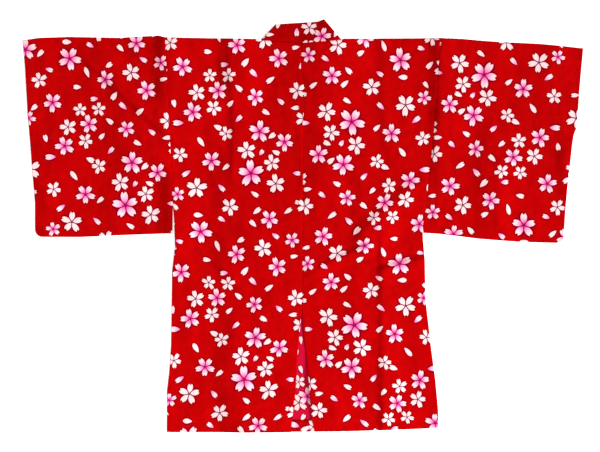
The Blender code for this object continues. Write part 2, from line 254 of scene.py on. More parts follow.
def between(places, values, at):
    """Reads a value off an outline, with straight lines between its points."""
    if at <= places[0]:
        return values[0]
    if at >= places[-1]:
        return values[-1]
    step = bisect_right(places, at) - 1
    share = (at - places[step]) / (places[step + 1] - places[step])
    return values[step] + (values[step + 1] - values[step]) * share


def height_at(outline, x):
    """Height y of an Across outline at x."""
    return between([point.x for point in outline], [point.y for point in outline], x)


def x_at(outline, y):
    """Place x of an Up outline at height y."""
    return between([point.y for point in outline], [point.x for point in outline], y)


def mix(first, last, share):
    """The value that lies this share of the way from first to last."""
    return first + (last - first) * share


def ease(value):
    """0 below 0, 1 above 1, and a soft S between them."""
    value = min(1.0, max(0.0, value))
    return value * value * (3 - 2 * value)


def edge_x(outline, armhole, y):
    """Side of the body or inner edge of a sleeve: the armhole seam above, its own line below."""
    if y < armhole.foot_y:
        return x_at(outline, y)
    share = (y - armhole.foot_y) / (armhole.top_y - armhole.foot_y)
    bow = armhole.bow * math.sin(math.pi * min(1.0, share))
    return mix(armhole.foot_x, armhole.top_x, share) + bow


print("Hem width", round(HEM[-1].x - HEM[0].x, 3), "m")

# %% [markdown]
# ## How the layers lie
# Laid flat, the left front is lowest, the right front laps over it in the middle, and the back
# lies on both. The CAD model puts each layer 2.2 mm above the one below, and at the sides,
# where only two layers lie, the back comes down. Real cotton is thinner, so each cloth is
# half a millimetre thick and lies in the middle of its solid.

# %% Layers
COTTON = 0.0005
REST = 0.0004
LEVEL = 0.0022
LAP_FLAT = 0.130
LAP_RAMP = 0.040
RIM_IN = 0.0003


def lap_share(x):
    """1 in the middle, where three layers lie, and 0 at the sides, where two lie."""
    return ease((LAP_FLAT + LAP_RAMP - abs(x)) / LAP_RAMP)


def left_front_z(x):
    """The left front lies flat on the floor."""
    return REST


def right_front_z(x):
    """The right front lies over the left one, and comes down to the floor at its side."""
    return REST + LEVEL * (lap_share(x) if x > 0 else 1.0)


def back_z(x):
    """The back lies on both fronts."""
    return REST + LEVEL * (1 + lap_share(x))


middle_mm, side_mm = round(back_z(0) * 1000, 1), round(back_z(0.3) * 1000, 1)
print("The back lies", middle_mm, "mm up in the middle and", side_mm, "mm at the sides")

# %% [markdown]
# ## Creases
# A folded kimono keeps soft creases. Each one here is a long low ridge with a listed crest
# line. Its two sides differ: a narrow steep one and a wide gentle one, as in cloth that has
# been pushed sideways. The height fades in and out along the crest and wanders a little. A
# crest can be round or sharp. All heights come from one function of x and y, so that two
# cloths sewn together rise by the same amount along their seam.

# %% Creases of the upper cloth
# A crest runs through its points. Seen along that run, left and right are its sides' widths.
Crease = namedtuple("Crease", "height left right sharp crest")
FADE = 0.22
WANDER = 0.16
DEEPEST_DIP = -0.0008

CREASES = (
    # left sleeve: a diagonal step up, a slow rise to the armhole and its two ends
    Crease(0.0046, 0.080, 0.013, 0.1, (
        (-0.562, 0.432), (-0.480, 0.360), (-0.408, 0.292), (-0.350, 0.241), (-0.292, 0.192),
    )),
    Crease(0.0044, 0.170, 0.210, 0.1, (
        (-0.332, 0.640), (-0.328, 0.420), (-0.320, 0.270), (-0.314, 0.130),
    )),
    Crease(0.0046, 0.150, 0.036, 0.1, ((-0.330, 0.560), (-0.330, 0.420), (-0.328, 0.260))),
    Crease(0.0060, 0.085, 0.045, 0.3, ((-0.311, 0.150), (-0.311, 0.050), (-0.313, -0.090))),
    # left half of the back
    Crease(0.0030, 0.150, 0.130, 0.0, ((-0.176, 0.620), (-0.174, 0.400), (-0.176, 0.250))),
    Crease(0.0056, 0.090, 0.038, 0.3, ((-0.171, 0.560), (-0.171, 0.420), (-0.173, 0.290))),
    Crease(0.0028, 0.055, 0.016, 0.4, ((-0.168, 0.380), (-0.166, 0.250), (-0.167, 0.090))),
    Crease(0.0030, 0.045, 0.060, 0.3, (
        (-0.168, 0.300), (-0.170, 0.100), (-0.168, -0.150), (-0.166, -0.360), (-0.163, -0.600),
    )),
    Crease(0.0024, 0.035, 0.013, 0.3, ((-0.262, -0.048), (-0.205, -0.094), (-0.150, -0.145))),
    Crease(0.0064, 0.190, 0.090, 0.1, ((-0.140, -0.380), (-0.138, -0.470), (-0.135, -0.620))),
    # right half of the back
    Crease(0.0016, 0.080, 0.050, 0.2, ((0.043, 0.300), (0.044, 0.100), (0.040, -0.200))),
    Crease(0.0013, 0.100, 0.050, 0.0, ((0.170, 0.560), (0.170, 0.100), (0.170, -0.600))),
    Crease(0.0013, 0.050, 0.020, 0.3, ((0.194, 0.520), (0.195, 0.400), (0.192, 0.260))),
    Crease(0.0031, 0.052, 0.016, 0.5, (
        (0.188, 0.060), (0.190, -0.100), (0.191, -0.300), (0.192, -0.600),
    )),
    Crease(0.0052, 0.080, 0.032, 0.2, (
        (0.320, 0.112), (0.262, 0.086), (0.205, 0.040), (0.158, -0.004), (0.112, -0.062),
    )),
    Crease(0.0034, 0.032, 0.013, 0.3, (
        (0.190, -0.034), (0.130, -0.060), (0.072, -0.086), (0.014, -0.116),
    )),
    Crease(0.0052, 0.045, 0.015, 0.2, (
        (0.330, -0.072), (0.285, -0.082), (0.230, -0.094), (0.170, -0.112),
    )),
    Crease(0.0038, 0.040, 0.070, 0.3, ((-0.004, -0.335), (0.040, -0.378), (0.118, -0.470))),
    # neck, and the seam of the right sleeve
    Crease(0.0076, 0.110, 0.120, 0.1, ((0.072, 0.640), (0.068, 0.420), (0.058, 0.220))),
    Crease(0.0046, 0.110, 0.036, 0.2, ((0.330, 0.560), (0.330, 0.400), (0.328, 0.200))),
    Crease(0.0034, 0.090, 0.028, 0.2, ((0.329, 0.330), (0.326, 0.150), (0.322, -0.040))),
    # right sleeve
    Crease(0.0050, 0.050, 0.140, 0.2, ((0.472, 0.200), (0.465, 0.080), (0.460, -0.110))),
    Crease(0.0030, 0.030, 0.030, 0.1, ((0.628, 0.190), (0.630, 0.125), (0.634, 0.050))),
)


def one_crease(crease, x, y):
    """Rise of one crease at many points at once."""
    nearest = np.full(x.shape, 1.0e9)
    side = np.zeros(x.shape)
    along = np.zeros(x.shape)
    run = 0.0
    for start, end in zip(crease.crest, crease.crest[1:]):
        step = np.subtract(end, start)
        length = math.hypot(*step)
        share = ((x - start[0]) * step[0] + (y - start[1]) * step[1]) / length**2
        share = np.clip(share, 0.0, 1.0)
        away_x = x - start[0] - share * step[0]
        away_y = y - start[1] - share * step[1]
        away = np.hypot(away_x, away_y)
        closer = away < nearest
        nearest = np.where(closer, away, nearest)
        side = np.where(closer, step[0] * away_y - step[1] * away_x, side)
        along = np.where(closer, run + share * length, along)
        run += length
    away = np.clip(nearest / np.where(side > 0, crease.left, crease.right), 0.0, 1.0)
    soft = 0.5 + 0.5 * np.cos(np.pi * away)
    profile = soft + ((1 - away) ** 2 - soft) * crease.sharp
    ends = np.clip(np.minimum(along, run - along) / (FADE * run), 0.0, 1.0)
    wander = 1 + WANDER * np.sin(along * 60 + run * 90) * np.sin(along * 23 + 1.3)
    return crease.height * profile * ends * ends * (3 - 2 * ends) * wander


def cloth_waves(x, y):
    """Soft unevenness of cloth that lies loosely: hand-sized swells and finger-sized ones."""
    swell = noise.noise(Vector((x * 9, y * 6, 3.7))) * 0.0032
    ripple = noise.noise(Vector((x * 26 + y * 9, y * 19, 8.1))) * 0.0018
    crumple = noise.noise(Vector((x * 74, y * 62, 5.2))) * 0.0005
    return 0.0006 + swell + ripple + crumple


def relief(x, y):
    """Rise of the upper cloth above its flat level, for arrays of places."""
    total = np.array([cloth_waves(a, b) for a, b in zip(x, y)])
    for crease in CREASES:
        total += one_crease(crease, x, y)
    return np.maximum(total, DEEPEST_DIP)


def under_relief(x, y):
    """Small creases of the cloth that lies below, which can't rise far."""
    total = np.array([noise.noise(Vector((a * 13, b * 7, 31.4))) for a, b in zip(x, y)])
    return np.maximum(total, 0.0) * 0.0009


print(len(CREASES), "creases, the highest", max(crease.height for crease in CREASES) * 1000, "mm")

# %% [markdown]
# ## The printed flowers
# The print is one strip of cherry blossoms and single petals as wide as the cloth, and it
# repeats every 49.4 cm along it. It is charted in centimetres from the middle seam of
# the back: white flowers, pink ones, and loose petals. Each panel takes it from its own place:
# the right half of the back and the right sleeve have it upside down.

# %% The chart of the print
WHITE_FLOWER, PINK_FLOWER, WHITE_PETAL, PINK_PETAL, PLAIN_PETAL = 1, 2, 3, 4, 5
REPEAT = 0.494
Flower = namedtuple("Flower", "kind x y radius turn")
Petal = namedtuple("Petal", "kind x y turn length width")

# turn: how far the topmost petal leans to the left, in degrees
FLOWERS = (
    Flower(WHITE_FLOWER, -32.0, 43.0, 2.0, 10),
    Flower(PINK_FLOWER, -29.0, 37.5, 2.4, 30),
    Flower(WHITE_FLOWER, -22.5, 35.5, 1.7, 0),
    Flower(WHITE_FLOWER, -18.0, 35.5, 1.8, -5),
    Flower(WHITE_FLOWER, -25.5, 31.5, 2.1, 15),
    Flower(PINK_FLOWER, -20.5, 32.0, 2.3, 10),
    Flower(WHITE_FLOWER, -21.5, 28.0, 1.9, -30),
    Flower(PINK_FLOWER, -26.5, 27.0, 2.4, 20),
    Flower(PINK_FLOWER, -16.0, 42.5, 2.3, 15),
    Flower(PINK_FLOWER, -6.0, 39.5, 2.4, 20),
    Flower(WHITE_FLOWER, -1.5, 32.0, 2.1, 15),
    Flower(PINK_FLOWER, -11.5, 30.5, 2.1, 25),
    Flower(WHITE_FLOWER, -18.5, 22.0, 1.8, 15),
    Flower(WHITE_FLOWER, -29.5, 17.0, 1.9, -30),
    Flower(PINK_FLOWER, -22.0, 15.5, 2.4, 35),
    Flower(PINK_FLOWER, -10.5, 22.5, 2.7, -5),
    Flower(PINK_FLOWER, -4.5, 20.0, 2.3, -35),
    Flower(WHITE_FLOWER, -13.5, 18.0, 2.3, 10),
    Flower(PINK_FLOWER, -12.5, 12.5, 3.3, 5),
    Flower(WHITE_FLOWER, -7.5, 15.0, 2.1, 10),
    Flower(WHITE_FLOWER, -6.5, 10.0, 2.4, 10),
    Flower(WHITE_FLOWER, 0.0, 25.5, 2.0, -20),
    Flower(WHITE_FLOWER, -25.5, 9.0, 2.6, -5),
    Flower(PINK_FLOWER, -30.0, 7.5, 1.8, 10),
    Flower(WHITE_FLOWER, -17.5, 4.5, 2.2, -30),
    Flower(PINK_FLOWER, -24.5, -1.5, 2.9, -30),
    Flower(PINK_FLOWER, -8.0, 1.5, 2.3, 35),
    Flower(PINK_FLOWER, -2.5, -3.5, 1.9, -30),
    Flower(WHITE_FLOWER, -9.5, -5.5, 2.3, 15),
    Flower(PINK_FLOWER, -35.0, 1.0, 2.7, 0),
    Flower(WHITE_FLOWER, -35.0, 22.0, 2.6, 10),
    Flower(PINK_FLOWER, -35.0, 34.0, 1.9, -30),
    Flower(WHITE_FLOWER, 0.5, 4.5, 2.0, -30),
)

# turn: where the notched end of a loose petal points, in degrees from the right
PETALS = (
    Petal(WHITE_PETAL, -23.0, 41.0, 175, 1.9, 1.3),
    Petal(PINK_PETAL, -19.0, 38.0, 185, 1.9, 1.3),
    Petal(WHITE_PETAL, -33.5, 36.5, 40, 2.0, 1.3),
    Petal(WHITE_PETAL, -31.0, 29.0, 105, 1.9, 1.3),
    Petal(WHITE_PETAL, -15.5, 32.5, -40, 2.2, 1.3),
    Petal(WHITE_PETAL, -17.5, 29.0, 225, 1.9, 1.2),
    Petal(WHITE_PETAL, -14.0, 38.5, 230, 2.4, 1.5),
    Petal(WHITE_PETAL, -2.0, 42.0, 190, 1.9, 1.1),
    Petal(PINK_PETAL, -12.0, 36.0, 135, 2.4, 1.3),
    Petal(WHITE_PETAL, -8.0, 34.5, 215, 2.4, 1.3),
    Petal(PINK_PETAL, -5.5, 29.5, -40, 2.1, 1.2),
    Petal(WHITE_PETAL, -2.0, 28.0, 5, 2.0, 1.2),
    Petal(WHITE_PETAL, -9.0, 27.0, 150, 2.1, 1.3),
    Petal(PINK_PETAL, -15.5, 25.5, 45, 2.1, 1.2),
    Petal(WHITE_PETAL, -20.5, 23.5, -25, 2.1, 1.4),
    Petal(PINK_PETAL, -30.0, 24.5, 180, 2.6, 1.5),
    Petal(PLAIN_PETAL, -24.5, 20.0, 125, 2.5, 1.3),
    Petal(WHITE_PETAL, -18.5, 14.0, 40, 2.1, 1.2),
    Petal(PINK_PETAL, -28.0, 12.5, 215, 2.4, 1.3),
    Petal(WHITE_PETAL, -7.5, 21.5, 35, 2.0, 1.4),
    Petal(PINK_PETAL, -10.0, 17.5, 55, 1.6, 1.2),
    Petal(WHITE_PETAL, -6.5, 17.5, -25, 2.0, 1.3),
    Petal(PINK_PETAL, -1.5, 12.5, -5, 1.9, 1.2),
    Petal(PINK_PETAL, -19.5, 9.0, -45, 2.3, 1.2),
    Petal(PLAIN_PETAL, -25.0, 2.5, 175, 2.1, 1.4),
    Petal(PINK_PETAL, -19.5, 1.5, 145, 2.0, 1.2),
    Petal(WHITE_PETAL, -30.5, 4.5, -55, 1.9, 1.1),
    Petal(PLAIN_PETAL, -20.5, -5.0, 110, 2.6, 1.2),
    Petal(WHITE_PETAL, -15.0, -3.5, 30, 1.9, 1.4),
    Petal(PINK_PETAL, -29.5, -4.0, -20, 1.9, 1.2),
    Petal(WHITE_PETAL, -11.5, 7.5, -35, 2.2, 1.2),
    Petal(WHITE_PETAL, -11.0, 3.5, 40, 2.3, 1.3),
    Petal(WHITE_PETAL, -12.0, 0.5, 135, 2.2, 1.3),
    Petal(WHITE_PETAL, -3.5, 3.5, 35, 2.2, 1.2),
    Petal(PINK_PETAL, -1.0, 5.5, 170, 1.9, 1.2),
    Petal(PINK_PETAL, -6.5, -2.5, -35, 2.1, 1.2),
    Petal(WHITE_PETAL, -31.5, 0.0, 45, 2.2, 1.3),
    Petal(WHITE_PETAL, -34.5, 16.5, 5, 2.0, 1.2),
)
print(len(FLOWERS), "flowers and", len(PETALS), "loose petals in each", REPEAT * 100, "cm")

# %% [markdown]
# ## From the chart to the cloth
# Each face of a cloth is a few millimetres across, so it can hold parts of no more than three
# motifs. The mesh keeps, for each corner of each face, how that corner lies in the nearest
# three motifs: along and across a petal, in petal lengths, and which kind it is. The material
# then draws only three motifs, however many the cloth has. The motifs are ordered as in the
# chart, so that neighbouring faces agree on which one lies on top.

# %% Placing the motifs
Stamp = namedtuple("Stamp", "kind root_x root_y axis_x axis_y length squeeze mid_x mid_y reach")
PETAL_SHARE = 0.6
SLOTS = ("motif_a", "motif_b", "motif_c")
# a motif can reach into a face whose middle is this far outside it
MOTIF_MARGIN = 0.012
# each motif adds its own small fraction to its kind, which varies its petals
SEED_STEP = 0.37
SEED_SPAN = 0.3


def stamp(motif, turn, shift):
    """One motif of the chart, turned by some degrees and then shifted, in the piece's metres."""
    cos, sin = math.cos(math.radians(turn)), math.sin(math.radians(turn))
    x, y = motif.x / 100, motif.y / 100
    mid_x, mid_y = x * cos - y * sin + shift[0], x * sin + y * cos + shift[1]
    if isinstance(motif, Flower):
        angle = math.radians(motif.turn + 90 + turn)
        length = motif.radius / 100
        axis_x, axis_y = math.cos(angle), math.sin(angle)
        return Stamp(motif.kind, mid_x, mid_y, axis_x, axis_y, length, 1.0, mid_x, mid_y, length)
    angle = math.radians(motif.turn + turn)
    length = motif.length / 100
    axis_x, axis_y = math.cos(angle), math.sin(angle)
    root_x, root_y = mid_x - axis_x * length / 2, mid_y - axis_y * length / 2
    squeeze = PETAL_SHARE * motif.length / motif.width
    return Stamp(
        motif.kind, root_x, root_y, axis_x, axis_y, length, squeeze, mid_x, mid_y, length / 2
    )


def chart_stamps(turn, shift, first, last):
    """The whole chart, repeated along the cloth between two repeats."""
    cos, sin = math.cos(math.radians(turn)), math.sin(math.radians(turn))
    stamps = []
    for repeat in range(first, last + 1):
        moved = (shift[0] - sin * REPEAT * repeat, shift[1] + cos * REPEAT * repeat)
        stamps += [stamp(motif, turn, moved) for motif in FLOWERS + PETALS]
    return stamps


def print_motifs(mesh, stamps):
    """Writes the nearest three motifs of each face into the mesh, corner by corner."""
    corners = len(mesh.loops)
    cloth = np.empty(corners * 2, dtype=np.float32)
    mesh.uv_layers["cloth"].data.foreach_get("uv", cloth)
    cloth = cloth.reshape(-1, 2).astype(float)
    sizes = np.empty(len(mesh.polygons), dtype=np.int32)
    mesh.polygons.foreach_get("loop_total", sizes)
    starts = np.concatenate(([0], np.cumsum(sizes)[:-1]))
    middles = np.add.reduceat(cloth, starts, axis=0) / sizes[:, None]
    motifs = Stamp(*np.array(stamps, dtype=float).T)
    away = np.hypot(middles[:, :1] - motifs.mid_x, middles[:, 1:] - motifs.mid_y) - motifs.reach
    nearest = np.sort(np.argsort(away, axis=1)[:, : len(SLOTS)], axis=1)
    close = np.take_along_axis(away, nearest, axis=1) < MOTIF_MARGIN
    for slot, name in enumerate(SLOTS):
        chosen = np.repeat(nearest[:, slot], sizes)
        near = np.repeat(close[:, slot], sizes)
        here = Stamp(*(column[chosen] for column in motifs))
        off_x, off_y = cloth[:, 0] - here.root_x, cloth[:, 1] - here.root_y
        along = (off_x * here.axis_x + off_y * here.axis_y) / here.length
        across = (off_y * here.axis_x - off_x * here.axis_y) / here.length * here.squeeze
        seed = (chosen * SEED_STEP) % 1.0 * SEED_SPAN
        values = np.stack([along, across, np.where(near, here.kind + seed, 0.0)], axis=1)
        layer = mesh.attributes.new(name, "FLOAT_VECTOR", "CORNER")
        layer.data.foreach_set("vector", values.astype(np.float32).ravel())


print("Each face keeps its nearest", len(SLOTS), "motifs")

# %% [markdown]
# ## Drawing a petal with nodes
# A small helper lets node arithmetic be written like ordinary arithmetic: each operator adds
# one Math node. A flower is one petal seen five times, because the angle round its middle is
# folded into one fifth of a turn. The petal itself is a formula: pointed at the root, widest
# two thirds of the way out, and with a small notch in its tip.

# %% Arithmetic on node sockets
class Wire:
    """A number that runs along a wire of a node tree."""

    def __init__(self, tree, socket):
        self.tree = tree
        self.socket = socket

    def through(self, operation, *others):
        node = self.tree.nodes.new("ShaderNodeMath")
        node.operation = operation
        for slot, value in enumerate((self, *others)):
            if isinstance(value, Wire):
                self.tree.links.new(value.socket, node.inputs[slot])
            else:
                node.inputs[slot].default_value = value
        return Wire(self.tree, node.outputs[0])

    def __add__(self, other):
        return self.through("ADD", other)

    def __sub__(self, other):
        return self.through("SUBTRACT", other)

    def __mul__(self, other):
        return self.through("MULTIPLY", other)

    def __truediv__(self, other):
        return self.through("DIVIDE", other)

    def __pow__(self, other):
        return self.through("POWER", other)

    def __neg__(self):
        return self.through("MULTIPLY", -1.0)

    def __abs__(self):
        return self.through("ABSOLUTE")

    def flip(self):
        """One minus this number."""
        return -self + 1.0

    def toward(self, other, share):
        """This number where share is 0, the other where it is 1."""
        return self + (other - self) * share

    def rise(self, low, high):
        """0 below low, 1 above high, and a soft step between them."""
        node = self.tree.nodes.new("ShaderNodeMapRange")
        node.interpolation_type = "SMOOTHSTEP"
        node.inputs["From Min"].default_value = low
        node.inputs["From Max"].default_value = high
        self.tree.links.new(self.socket, node.inputs["Value"])
        return Wire(self.tree, node.outputs["Result"])


def blend_colours(tree, share, first, second):
    """A Mix node for two colours; each may be a socket or a fixed colour."""
    node = tree.nodes.new("ShaderNodeMix")
    node.data_type = "RGBA"
    tree.links.new(share.socket, node.inputs["Factor"])
    for name, colour in (("A", first), ("B", second)):
        socket = next(each for each in node.inputs if each.name == name and each.type == "RGBA")
        if isinstance(colour, tuple):
            socket.default_value = (*colour, 1)
        else:
            tree.links.new(colour, socket)
    return next(each for each in node.outputs if each.type == "RGBA")


def colour_run(tree, share, stops):
    """A Color Ramp node with stops of (place, colour)."""
    node = tree.nodes.new("ShaderNodeValToRGB")
    ramp = node.color_ramp
    while len(ramp.elements) < len(stops):
        ramp.elements.new(0.5)
    for element, (place, colour) in zip(ramp.elements, stops):
        element.position = place
        element.color = (*colour, 1)
    tree.links.new(share.socket, node.inputs["Fac"])
    return node.outputs["Color"]


print("Node arithmetic ready")

# %% [markdown]
# ## One motif as a node group
# The group takes a corner's place in a motif and gives a colour and how far it covers the
# cloth. Kinds 1 and 2 are flowers, the others loose petals, and the even kinds are pink. White
# flowers have dark veins in the middle, pink ones a magenta heart, and every petal a thin dark
# edge where the dyes meet.

# %% The motif group
WHITE_RUN = (
    (0.0, (0.46, 0.24, 0.33)),
    (0.11, (0.80, 0.50, 0.57)),
    (0.26, (0.92, 0.58, 0.61)),
    (0.60, (0.94, 0.60, 0.62)),
    (1.0, (0.95, 0.61, 0.55)),
)
PINK_RUN = (
    (0.0, (0.40, 0.0, 0.10)),
    (0.11, (0.56, 0.020, 0.19)),
    (0.26, (0.84, 0.15, 0.37)),
    (0.45, (0.91, 0.35, 0.54)),
    (0.67, (0.94, 0.54, 0.63)),
    (1.0, (0.95, 0.61, 0.55)),
)
VEIN = (0.055, 0.002, 0.026)
PINK_VEIN = (0.25, 0.0, 0.07)
DYE_EDGE = (0.12, 0.0, 0.010)


def motif_group():
    tree = bpy.data.node_groups.new("printed_motif", "ShaderNodeTree")
    tree.interface.new_socket("Motif", in_out="INPUT", socket_type="NodeSocketVector")
    tree.interface.new_socket("Colour", in_out="OUTPUT", socket_type="NodeSocketColor")
    tree.interface.new_socket("Cover", in_out="OUTPUT", socket_type="NodeSocketFloat")
    entry = tree.nodes.new("NodeGroupInput")
    parts = tree.nodes.new("ShaderNodeSeparateXYZ")
    tree.links.new(entry.outputs["Motif"], parts.inputs[0])
    x, y, kind = [Wire(tree, socket) for socket in parts.outputs]
    shown = kind.through("GREATER_THAN", 0.5)
    single = kind.through("GREATER_THAN", 2.9)
    pink = (kind / 2).through("FRACT").through("LESS_THAN", 0.25)
    plain = kind.through("GREATER_THAN", 4.9)
    pink = pink * plain.flip()

    # the fold into one fifth of a turn
    radius = (x * x + y * y).through("SQRT")
    angle = y.through("ARCTAN2", x)
    fifth = (angle / math.radians(72) + 0.5).through("FLOOR")
    bend = angle - fifth * math.radians(72)
    grown = (fifth * 2.3 + kind * 50).through("SINE") * 0.05 + 0.98
    along = (radius * bend.through("COSINE") / grown).toward(x, single)
    across = abs((radius * bend.through("SINE")).toward(y, single))

    # the petal: above 0 inside its outline
    taper = ((along / 1.04).through("MINIMUM", 1.0) ** 2.2).flip() ** 0.7
    root = (along ** 0.8).toward((along ** 0.74) * 0.97, single)
    side = root * taper * 0.478 - across
    notch = ((across * 1.1 - along + 0.84) * 0.67).toward((along.flip() + 0.02) * 2, plain)
    inside = side.through("MINIMUM", notch).through("MINIMUM", (along - 0.02) * 4)
    petal = inside.rise(-0.012, 0.016)
    rim = inside.rise(-0.20, -0.09) * (inside.rise(-0.085, -0.012) * 0.96).flip() * 0.92
    edge = rim * along.rise(1.0, 1.10).flip()

    # the heart of a flower: veins between the petals and a dot
    gap = radius * (-abs(bend) + math.radians(36)).through("SINE")
    veins = gap.rise(0.034, 0.066).flip() * radius.rise(0.34, 0.58).flip()
    heart = veins.through("MAXIMUM", radius.rise(0.06, 0.13).flip()) * single.flip()

    shade = along.toward(along * 0.8 + 0.2, single)
    tint = blend_colours(
        tree, pink, colour_run(tree, shade, WHITE_RUN), colour_run(tree, shade, PINK_RUN)
    )
    dyed = blend_colours(tree, inside.through("GREATER_THAN", -0.012), DYE_EDGE, tint)
    vein = blend_colours(tree, pink, VEIN, PINK_VEIN)
    veined = blend_colours(tree, heart * 0.95, dyed, vein)
    cover = petal.through("MAXIMUM", edge).through("MAXIMUM", heart * 0.8) * shown
    result = tree.nodes.new("NodeGroupOutput")
    tree.links.new(veined, result.inputs["Colour"])
    tree.links.new(cover.socket, result.inputs["Cover"])
    return tree


MOTIF_GROUP = motif_group()
print("The motif group has", len(MOTIF_GROUP.nodes), "nodes")

# %% [markdown]
# ## Printed cotton
# The ground is a strong red, uneven as dyed cotton is: broad paler and deeper patches, and
# single thicker threads. The weave is plain: the threads pass over and under by turns, two to
# the millimetre. It is drawn on the cloth's own metres, so it bends with the cloth. The wrong
# side shows the same print, paler and more crimson, because the dye goes only partly through.

# %% Cotton material
RED = (0.462, 0.0002, 0.0008)
DEEP_RED = (0.375, 0.0001, 0.0006)
WRONG_RED = (0.57, 0.004, 0.032)
WRONG_DEEP = (0.43, 0.003, 0.024)
THREAD = 0.0005


def noise_on(tree, vector, scale, detail, stretch):
    """A noise texture on stretched cloth metres."""
    shape = tree.nodes.new("ShaderNodeMapping")
    shape.inputs["Scale"].default_value = stretch
    tree.links.new(vector, shape.inputs["Vector"])
    node = tree.nodes.new("ShaderNodeTexNoise")
    node.inputs["Scale"].default_value = scale
    node.inputs["Detail"].default_value = detail
    tree.links.new(shape.outputs["Vector"], node.inputs["Vector"])
    return Wire(tree, node.outputs["Fac"])


def printed_cotton(name, wrong_side, deeper=1.0):
    material = bpy.data.materials.new(name)
    material.use_nodes = True
    tree = material.node_tree
    shader = tree.nodes["Principled BSDF"]
    cloth = tree.nodes.new("ShaderNodeUVMap")
    cloth.uv_map = "cloth"
    vector = cloth.outputs["UV"]
    parts = tree.nodes.new("ShaderNodeSeparateXYZ")
    tree.links.new(vector, parts.inputs[0])
    u, v = Wire(tree, parts.outputs[0]), Wire(tree, parts.outputs[1])

    # plain weave: the thread on top changes with each square
    weft = (u * (math.pi / THREAD)).through("SINE")
    warp = (v * (math.pi / THREAD)).through("SINE")
    on_top = (weft * warp).through("GREATER_THAN", 0.0)
    weave = abs(weft).toward(abs(warp), on_top)
    slub_across = noise_on(tree, vector, 1.0, 2, (45, 900, 1))
    slub_along = noise_on(tree, vector, 1.0, 2, (900, 45, 1))
    slub = slub_across.toward(slub_along, 0.5)
    mottle = noise_on(tree, vector, 55.0, 4, (1, 1, 1))
    crinkle = noise_on(tree, vector, 95.0, 3, (1, 0.7, 1))

    depth = (mottle * 0.9 + slub * 0.5 - weave * 0.12).rise(0.35, 1.0)
    dark, light = (WRONG_DEEP, WRONG_RED) if wrong_side else (DEEP_RED, RED)
    # A deeper factor below 1 darkens the red ground; on the neck band this is painted shade.
    dark, light = [tuple(part * deeper for part in dye) for dye in (dark, light)]
    colour = blend_colours(tree, depth, dark, light)
    for name_of_slot in reversed(SLOTS):
        place = tree.nodes.new("ShaderNodeAttribute")
        place.attribute_name = name_of_slot
        motif = tree.nodes.new("ShaderNodeGroup")
        motif.node_tree = MOTIF_GROUP
        tree.links.new(place.outputs["Vector"], motif.inputs["Motif"])
        printed = motif.outputs["Colour"]
        cover = Wire(tree, motif.outputs["Cover"])
        if wrong_side:
            cover = cover * 0.9
        colour = blend_colours(tree, cover, colour, printed)
    shading = blend_colours(tree, slub.rise(0.2, 0.8) * 0.10, colour, (0.05, 0.0, 0.0))
    tree.links.new(shading, shader.inputs["Base Color"])
    shader.inputs["Roughness"].default_value = 0.88
    shader.inputs["Specular IOR Level"].default_value = 0.01

    bump = tree.nodes.new("ShaderNodeBump")
    bump.inputs["Strength"].default_value = 1.0
    bump.inputs["Distance"].default_value = 0.001
    height = weave * 0.05 + slub * 0.10 + crinkle * 0.22
    tree.links.new(height.socket, bump.inputs["Height"])
    tree.links.new(bump.outputs["Normal"], shader.inputs["Normal"])
    return material


RIGHT_SIDE_OF_CLOTH = printed_cotton("printed_cotton_right_side", False)
WRONG_SIDE_OF_CLOTH = printed_cotton("printed_cotton_wrong_side", True)
# The neck band's red ground is 16 per cent darker all over, which is painted shade.
BAND_CLOTH_PAINTED_SHADE = printed_cotton("printed_cotton_band_painted_shade", False, deeper=0.84)
print("The cotton has", len(RIGHT_SIDE_OF_CLOTH.node_tree.nodes), "nodes")

# %% [markdown]
# ## Laying a cloth
# Every piece starts as a flat grid from create_grid, like cloth on the bolt. A function says
# where each of its points comes to lie, how much of the creases it takes, and where the point
# is on the uncut cloth. Solidify then gives the wall its thickness, with the wrong side's
# material on the inside.

# %% Cloth helper
# over: how much of the upper creases a point takes. under: how much of the lower ones.
Spot = namedtuple("Spot", "x y z over under u v")


def whole(column, row):
    """Keeps every face of a cloth."""
    return True


